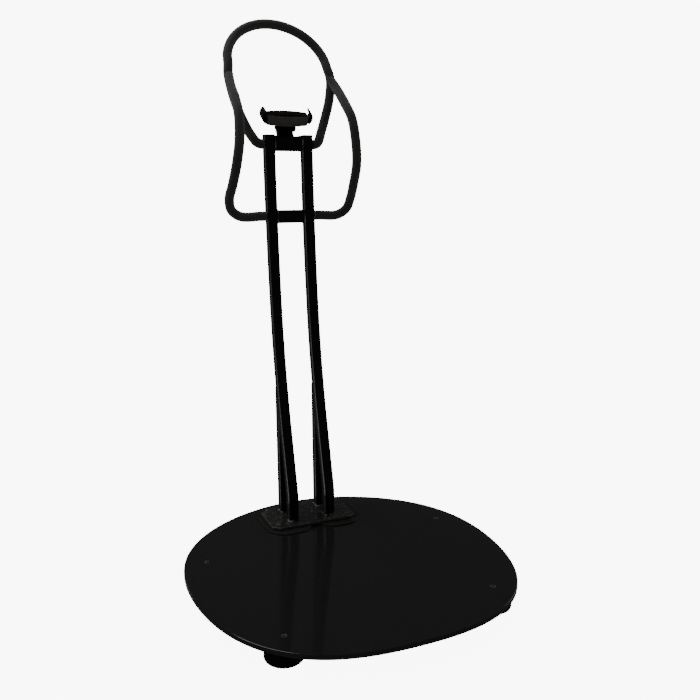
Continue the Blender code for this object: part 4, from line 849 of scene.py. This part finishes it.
ARCH_LEAN, ARCH_RADIUS = radians(32.0), MAST_SIDE + 0.0802
ARCH_CENTRE = np.array([0.0, 0.506 + shift_y, 1.333 + board_top])
LEG = [(0.1570, 0.4930, 1.3030), (0.1480, 0.4800, 1.2450), (0.1310, 0.4710, 1.1910), (0.1115, 0.4575, 1.1451)]
LEG += [(0.1006, 0.4456, 1.1240), (0.0950, 0.4418, 1.1165), (0.0866, 0.4395, 1.1118)]
GRIP = [(0.1560, 0.4930, 1.3030), (0.1620, 0.4550, 1.2720), (0.1645, 0.3980, 1.2260), (0.1685, 0.3560, 1.1800)]
GRIP += [(0.1735, 0.3405, 1.1150), (0.1800, 0.3490, 1.0550), (0.1845, 0.3820, 0.9970), (0.1875, 0.4120, 0.9550)]


def mast_y_at(height):
    return float(np.interp(height, mast_z, mast_y))


def hoop_run():
    """Left foot, left leg, a half circle leaning back, and the mirror image down the right."""
    turn = np.linspace(0.0, pi, 13)
    reach = ARCH_RADIUS * np.sin(turn)
    arch = np.stack([-ARCH_RADIUS * np.cos(turn), reach * sin(ARCH_LEAN), reach * cos(ARCH_LEAN)], -1) + ARCH_CENTRE
    leg = np.array(LEG)[::-1] * [-1, 1, 1] + [0.0, shift_y, board_top]
    foot_z = mast_z[-1] - 0.0245
    foot = [(-MAST_SIDE - GAP - out, mast_y_at(foot_z), foot_z) for out in (0.0, 0.0045)]
    left = np.concatenate([foot, leg])
    return through(np.concatenate([left, arch, left[::-1] * [-1, 1, 1]]))


def grip_run(sign):
    """From the hoop forwards, down and back, then round a corner and level into the mast."""
    z = mast_z[-1] - 0.2290
    y, outer, bend = mast_y_at(z), GRIP[-1][0], 0.044
    corner = [(outer - bend * 0.20, y - bend * 0.10, z + bend * 0.42), (outer - bend * 0.85, y, z)]
    corner += [(outer - bend * 2.2, y, z), (MAST_SIDE + GAP, y, z)]
    arm = np.array(GRIP) + [0.0, shift_y, board_top]
    return through(np.concatenate([arm, corner]) * [sign, 1, 1])


ARCH_NORMAL = np.array([0.0, cos(ARCH_LEAN), -sin(ARCH_LEAN)])
hoop = hoop_run()
grips = {"left": grip_run(-1), "right": grip_run(1)}
GRIP_FIXED = {"left": np.array([-1.0, 1.0, 0.0]) / 2**0.5, "right": np.array([1.0, 1.0, 0.0]) / 2**0.5}
print("hoop run", round(float(np.linalg.norm(np.diff(hoop, axis=0), axis=1).sum()), 3), "m")

# %% [markdown]
# The sleeve is a second skin a millimetre and a half proud of the tube, with rolled ends where it stops short of
# the mast. Where a grip leaves the hoop, its tube and its sleeve are cut to the hoop's outside, as a welder copes
# one tube to another. The hoop's own sleeve is whole there, and only the weld inside it would need a slit.

# %% Sleeves and the tubes inside them
def rolled(run, radius, both=True):
    """Radii along a sleeve: full in the middle, and rolled in by a millimetre over its last four millimetres."""
    along = np.concatenate([[0.0], np.cumsum(np.linalg.norm(np.diff(run, axis=0), axis=1))])
    from_end = along[-1] - along if not both else np.minimum(along, along[-1] - along)
    return radius - 0.0008 * (1 - np.clip(from_end / 0.004, 0.0, 1.0)) ** 2


def with_fine_ends(run, both=True):
    """The run with three more stations in the last four millimetres, where the sleeve rolls in."""
    along = np.concatenate([[0.0], np.cumsum(np.linalg.norm(np.diff(run, axis=0), axis=1))])
    extra = along[-1] - np.array([0.001, 0.0022, 0.004])
    if both:
        extra = np.concatenate([extra, [0.001, 0.0022, 0.004]])
    kept = np.unique(np.concatenate([along, extra]))
    return np.stack([np.interp(kept, along, run[:, axis]) for axis in range(3)], axis=-1)


hoop_tube = skin("hoop_tube", wall_grid(hoop, HANDLE_RADIUS, HANDLE_RADIUS - HANDLE_WALL, ARCH_NORMAL), closed=True)
dress(hoop_tube, "black_enamel", stands_for=["handle_loop_tube"])
cloth_run = with_fine_ends(pulled_in(hoop, SLEEVE_END, SLEEVE_END))
outer = round_grid(cloth_run, rolled(cloth_run, SLEEVE_RADIUS), ARCH_NORMAL, 48)
inner = round_grid(cloth_run, HANDLE_RADIUS + GAP, ARCH_NORMAL, 48)
hoop_sleeve = skin("hoop_sleeve", np.concatenate([outer, inner[::-1]]), closed=True)
dress(hoop_sleeve, "woven_sleeve", stands_for=["handle_loop_sleeve"])

for name, run in grips.items():
    fixed = GRIP_FIXED[name]
    tube = skin(f"grip_core_{name}", wall_grid(run, HANDLE_RADIUS, HANDLE_RADIUS - HANDLE_WALL, fixed), closed=True)
    bored(tube, [skin("cutter", round_grid(hoop, SLEEVE_RADIUS + GAP / 2, ARCH_NORMAL, 48))])
    dress(tube, "black_enamel", stands_for=[f"grip_tube_{name}"])
    cloth_run = with_fine_ends(pulled_in(run, 0.0, SLEEVE_END), both=False)
    outer = round_grid(cloth_run, rolled(cloth_run, SLEEVE_RADIUS, both=False), fixed, 48)
    inner = round_grid(cloth_run, HANDLE_RADIUS + GAP, fixed, 48)
    sleeve = skin(f"grip_cloth_{name}", np.concatenate([outer, inner[::-1]]), closed=True)
    bored(sleeve, [skin("cutter", round_grid(hoop, SLEEVE_RADIUS, ARCH_NORMAL, 48))])
    dress(sleeve, "woven_sleeve", stands_for=[f"grip_sleeve_{name}"])
print("sleeve faces", len(hoop_sleeve.data.polygons))

# %% [markdown]
# Weld beads show where the tubes meet the plate and the bars meet the tubes. A bead is a thin round skin round
# the joint whose thickness ripples, one ripple for each stop of the torch. Its run is closed, so its rows close.

# %% Weld beads
def bead(name, run, radius, fixed, pitch=0.0026):
    """A round skin along a closed run, with radius r * (0.93 + 0.16 * |sin(pi * length / pitch)|)."""
    gap = np.linalg.norm(np.roll(run, -1, axis=0) - run, axis=1)
    along = np.concatenate([[0.0], np.cumsum(gap)[:-1]])
    ripples = round(gap.sum() / pitch)
    thick = radius * (0.93 + 0.16 * np.abs(np.sin(pi * ripples * along / gap.sum())))
    wrapped = np.concatenate([run[-1:], run, run[:1]])
    grid = round_grid(wrapped, np.concatenate([thick[-1:], thick, thick[:1]]), fixed, 10)[1:-1]
    return dress(skin(name, grid, closed=True, sharp=80.0), "black_enamel", finish=weld_finish)


def evenly(outline, count):
    """A closed outline at evenly spaced stations."""
    loop = np.concatenate([outline, outline[:1]])
    along = np.concatenate([[0.0], np.cumsum(np.linalg.norm(np.diff(loop, axis=0), axis=1))])
    at = np.linspace(0.0, along[-1], count, endpoint=False)
    return np.stack([np.interp(at, along, loop[:, axis]) for axis in range(loop.shape[1])], axis=-1)


UP, ALONG_X = np.array([0.0, 0.0, 1.0]), np.array([1.0, 0.0, 0.0])
WELD_STATIONS, BAR_WELD_STATIONS, HANDLE_WELD_STATIONS = 220, 180, 90
for name, sign in (("left", -1), ("right", 1)):
    foot = evenly(square(TUBE + 0.0016, CORNER + 0.001), WELD_STATIONS)
    height = np.full(WELD_STATIONS, plate_high[2] + 0.0008)
    for tube, foot_y, radius in (("mast", MAST_FOOT[0], 0.0021), ("strut", strut_foot_y, 0.0019)):
        ring = foot + np.array([sign * MAST_X, foot_y])
        bead(f"weld_{tube}_{name}", np.column_stack([ring, height]), radius, UP)
    for bar in ("upper", "lower"):
        low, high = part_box(f"crossbar_{bar}")
        lean = lean_at((low[2] + high[2]) / 2) if bar == "lower" else 0.0
        ring = bar_grid((low[1] + high[1]) / 2, (low[2] + high[2]) / 2, lean, high[0])[0, :, 1:]
        loop = evenly(ring, BAR_WELD_STATIONS)
        out = np.full(BAR_WELD_STATIONS, sign * (high[0] - 0.0006))
        bead(f"weld_{bar}_{name}", np.column_stack([out, loop]), 0.0014, ALONG_X)
    for joint, run in (("hoop", hoop if sign < 0 else hoop[::-1]), ("grip", grips[name][::-1])):
        ring = circle(HANDLE_RADIUS + 0.0004, HANDLE_WELD_STATIONS, (run[0, 1], run[0, 2]))
        out = np.full(HANDLE_WELD_STATIONS, sign * (MAST_SIDE + 0.0009))
        bead(f"weld_{joint}_{name}", np.column_stack([out, ring]), 0.0014, ALONG_X)
print("beads done")

# %% [markdown]
# The phone holder lies back on its hinge, so its parts are worked out flat and then laid on the tilted face: x
# stays, y runs up the face, and z stands out from it. The record says where the hinge is.

# %% The holder's own frame
RECLINE = radians(32.0)
tilt = next(joint for joint in frame["joints"] if joint["name"] == "holder_tilt")
hinge = np.array(tilt["pos_m"], float)
UP_FACE = np.array([0.0, cos(RECLINE), sin(RECLINE)])
OFF_FACE = np.array([0.0, -sin(RECLINE), cos(RECLINE)])
HOLDER_MIDDLE = 0.008
HOLDER_HALF_WIDTH = 0.0663
PANEL_BACK, PANEL_FRONT, SHELL_BACK = 0.0348, 0.0378, 0.0135
print("hinge at", hinge)


def on_face(grid):
    """Flat (x, up, off) points laid on the tilted face."""
    return hinge + grid[..., :1] * ALONG_X + grid[..., 1:2] * UP_FACE + grid[..., 2:] * OFF_FACE


def barrel(count=36):
    """Straight ends and bowed edges: the half height is 16 mm at the ends and 25 mm, by a parabola, in the middle."""
    straight = HOLDER_HALF_WIDTH - 0.005
    x = np.linspace(-straight, straight, count)
    half = 0.016 + 0.009 * (1 - (x / HOLDER_HALF_WIDTH) ** 2)
    lower = np.stack([x, HOLDER_MIDDLE - half], axis=-1)
    corner = np.linspace(-pi / 2, pi / 2, 12)[1:-1]
    side = half[-1] * 0.62
    reach = np.sign(np.sin(corner)) * (side + (half[-1] - side) * np.abs(np.sin(corner)) ** 0.9)
    right = np.stack([straight + 0.005 * np.abs(np.cos(corner)) ** 0.45, HOLDER_MIDDLE + reach], axis=-1)
    upper = np.stack([x[::-1], HOLDER_MIDDLE + half], axis=-1)
    left = right[::-1] * [-1, 1]
    return np.concatenate([lower, right, upper, left])


# %% [markdown]
# The front panel is piano black and slightly crowned. A crowned slab needs its last levels drawn far in and only
# a little higher, so that the crown is real and the long reflection on it bends.

# %% Front panel and lower lip
def crowned_levels(low, high, edge, crown):
    """(height, inset) pairs: a straight wall, a rolled rim, then a parabola up to the crown."""
    wall = [(low, 0.0004), (low + 0.0004, 0.0), (high - crown - edge, 0.0)]
    angle = np.linspace(0.0, pi / 2, 5)[1:]
    rim = [(high - crown - edge + edge * sin(a), edge * (1 - cos(a))) for a in angle]
    draw = np.linspace(edge, 0.0135, 9)[1:]
    top = [(high - crown * (1 - (d - edge) / (0.0135 - edge)) ** 2, d) for d in draw]
    return np.array(wall + rim + top)


panel = skin("panel", on_face(slab_grid(barrel(), crowned_levels(PANEL_BACK, PANEL_FRONT, 0.0009, 0.0009))), sharp=40.0)
PANEL_SCREW_X = 0.052


def face_drill(x, radius, low, high):
    return skin("cutter", on_face(turned_grid([(radius, high), (radius, low)], (x, HOLDER_MIDDLE), 24)))


bored(panel, [face_drill(x, 0.0023, 0.02, 0.05) for x in (-PANEL_SCREW_X, PANEL_SCREW_X)], 40.0)
dress(panel, "gloss_plastic", "holder", ["holder_front_panel"])

LIP_REACH = 0.0600
lip_x = np.linspace(-LIP_REACH, LIP_REACH, 60)
lip_half = 0.016 + 0.009 * (1 - (lip_x / HOLDER_HALF_WIDTH) ** 2)
lip_near = np.stack([lip_x, HOLDER_MIDDLE - lip_half - GAP], axis=-1)
lip_far = lip_near - [0.0, 0.0034]
lip_tip = np.linspace(-pi / 2, pi / 2, 9)[1:-1]
lip_end = np.stack([LIP_REACH + 0.0013 * np.cos(lip_tip), lip_near[-1, 1] - 0.0017 + 0.0017 * np.sin(lip_tip)], axis=-1)
lip_outline = np.concatenate([lip_far, lip_end, lip_near[::-1], lip_end[::-1] * [-1, 1]])
lip_levels = levels_of(SHELL_BACK, SHELL_BACK + 0.030, 0.0010, 0.0014)
lip = skin("lower_lip", on_face(slab_grid(lip_outline, [(z, min(d, 0.0014)) for z, d in lip_levels][1:-1])))
dress(lip, "lip_rubber", "holder", ["holder_lower_lip"])
print("panel and lip done")

# %% [markdown]
# The shell, the bracket and the jaws are moulded with slots, teeth and webs that the frame already has. For
# these a copy of the frame's part is welded together, its flat faces are merged, and a bevel rolls its edges.

# %% Moulded parts from the frame
def moulded_copy(node, name, width, segments=2):
    """A copy of a frame part with its points merged, its flat faces joined, and its edges past 32 degrees rolled."""
    work = bmesh.new()
    work.from_mesh(frame["nodes"][node].data)
    bmesh.ops.remove_doubles(work, verts=work.verts, dist=0.00002)
    bmesh.ops.dissolve_limit(work, angle_limit=radians(1.0), verts=work.verts, edges=work.edges)
    edges = [edge for edge in work.edges if edge.is_manifold and edge.calc_face_angle() > radians(32.0)]
    bmesh.ops.bevel(work, geom=edges, offset=width, segments=segments, profile=0.6, affect="EDGES", clamp_overlap=True)
    mesh = bpy.data.meshes.new(name)
    work.to_mesh(mesh)
    work.free()
    mesh.uv_layers.new(name="run")
    return finished(name, mesh, 34.0)


for node, name, width, body in (
    ("holder_bracket", "bracket", 0.0006, FRAME_BODY),
    ("holder_back_shell", "shell", 0.0004, "holder"),
    ("jaw_left", "claw_left", 0.0005, "jaw_left"),
    ("jaw_right", "claw_right", 0.0005, "jaw_right"),
    ("jaw_pad_left", "claw_pad_left", 0.0002, "jaw_left"),
    ("jaw_pad_right", "claw_pad_right", 0.0002, "jaw_right"),
):
    dress(moulded_copy(node, name, width), slot_of[node], body, [node])

# %% [markdown]
# The clamp knob is turned by hand, so its rim is fluted: the radius is a cosine of twelve turns, flattened on
# its crests. Its face is dished and its bore takes the bolt's end.

# %% Knob, tilt bolt and small screws
def about_x(rows, centre, count, ripple=0.0, flutes=0, sharpness=1.0):
    """Rings about a line along x from (radius, x, share of ripple) rows, r * (1 - ripple * share * flute(t))."""
    turn = np.linspace(0.0, 2 * pi, count, endpoint=False)
    flute = ((1 - np.cos(flutes * turn)) / 2) ** sharpness
    rings = []
    for radius, x, share in rows:
        r = radius * (1 - ripple * share * flute)
        rings.append(np.column_stack([np.full(count, x), centre[0] + r * np.cos(turn), centre[1] + r * np.sin(turn)]))
    return np.stack(rings)


knob_low, knob_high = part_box("tilt_knob")
axis_yz = (hinge[1], hinge[2])
x0, x1, knob_radius = knob_low[0], knob_high[0], 0.0120
knob_rows = [(0.0033, x0 + 0.0088, 0), (0.0033, x0, 0), (0.0072, x0, 0)]
knob_rows += [(0.0078, x0 + 0.0005, 0), (0.0078, x0 + 0.0016, 0)]
knob_rows += [(knob_radius - 0.0012, x0 + 0.0018, 1), (knob_radius - 0.0004, x0 + 0.0022, 1)]
knob_rows += [(knob_radius, x0 + 0.0031, 1), (knob_radius, x1 - 0.0018, 1)]
knob_rows += [(knob_radius - 0.0004, x1 - 0.0009, 1), (knob_radius - 0.0014, x1 - 0.0002, 0.7)]
knob_rows += [(knob_radius - 0.0026, x1, 0), (0.0078, x1, 0), (0.0070, x1 - 0.0008, 0), (0.0030, x1 - 0.0011, 0)]
knob = skin("knob", about_x(knob_rows, axis_yz, 144, 0.10, 12, 1.6), sharp=36.0)
dress(knob, "black_plastic", "knob", ["tilt_knob"])

bolt_low, bolt_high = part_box("tilt_bolt")
b0, b1, shank = bolt_low[0], bolt_high[0], 0.0029
bolt_rows = [(0.0030, b0 + 0.0003, 0), (0.0044, b0, 0), (0.0053, b0 + 0.0007, 0), (0.0055, b0 + 0.0013, 0)]
bolt_rows += [(0.0055, b0 + 0.0029, 0), (0.0054, b0 + 0.0030, 0), (shank, b0 + 0.0030, 0), (shank, b1 - 0.0005, 0)]
bolt_rows += [(shank - 0.0005, b1, 0)]
dress(skin("hinge_bolt", about_x(bolt_rows, axis_yz, 48)), "dark_steel", stands_for=["tilt_bolt"])

for name, sign in (("left", -1), ("right", 1)):
    rows = [(0.0012, 0.0258), (0.0012, PANEL_FRONT - 0.0014), (0.0021, PANEL_FRONT - 0.0005)]
    rows += [(0.0022, PANEL_FRONT - 0.0004), (0.0020, PANEL_FRONT - 0.0003)]
    grid = turned_grid(rows, (sign * PANEL_SCREW_X, HOLDER_MIDDLE), 36)
    dress(skin(f"small_screw_{name}", on_face(grid)), "dark_steel", "holder", [f"panel_screw_{name}"])
    low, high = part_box(f"bracket_screw_{name}")
    seat = high[2] - 0.0022
    rows = [(0.002, low[2]), (0.002, seat), (0.0034, seat), (0.0036, seat + 0.0003)]
    rows += dome(0.0036, seat + 0.0005, high[2] - seat - 0.0005)
    screw = socket_head(f"flange_screw_{name}", middle_of(f"bracket_screw_{name}"), rows, 0.0014, high[2] - 0.0012)
    dress(screw, "dark_steel", stands_for=[f"bracket_screw_{name}"])
print("holder done")

# %% [markdown]
# What stays as the frame has it, such as nuts, bars, bushes, the pinion and its spring, takes the finish of its
# own slot in the record. These parts sit under the board or inside the holder.

# %% Finishes for the parts that stay
for node, piece in frame["nodes"].items():
    for material_slot in piece.material_slots:
        material_slot.material = finishes[slot_of[node]].material
print("dressed", len(frame["nodes"]), "frame parts")
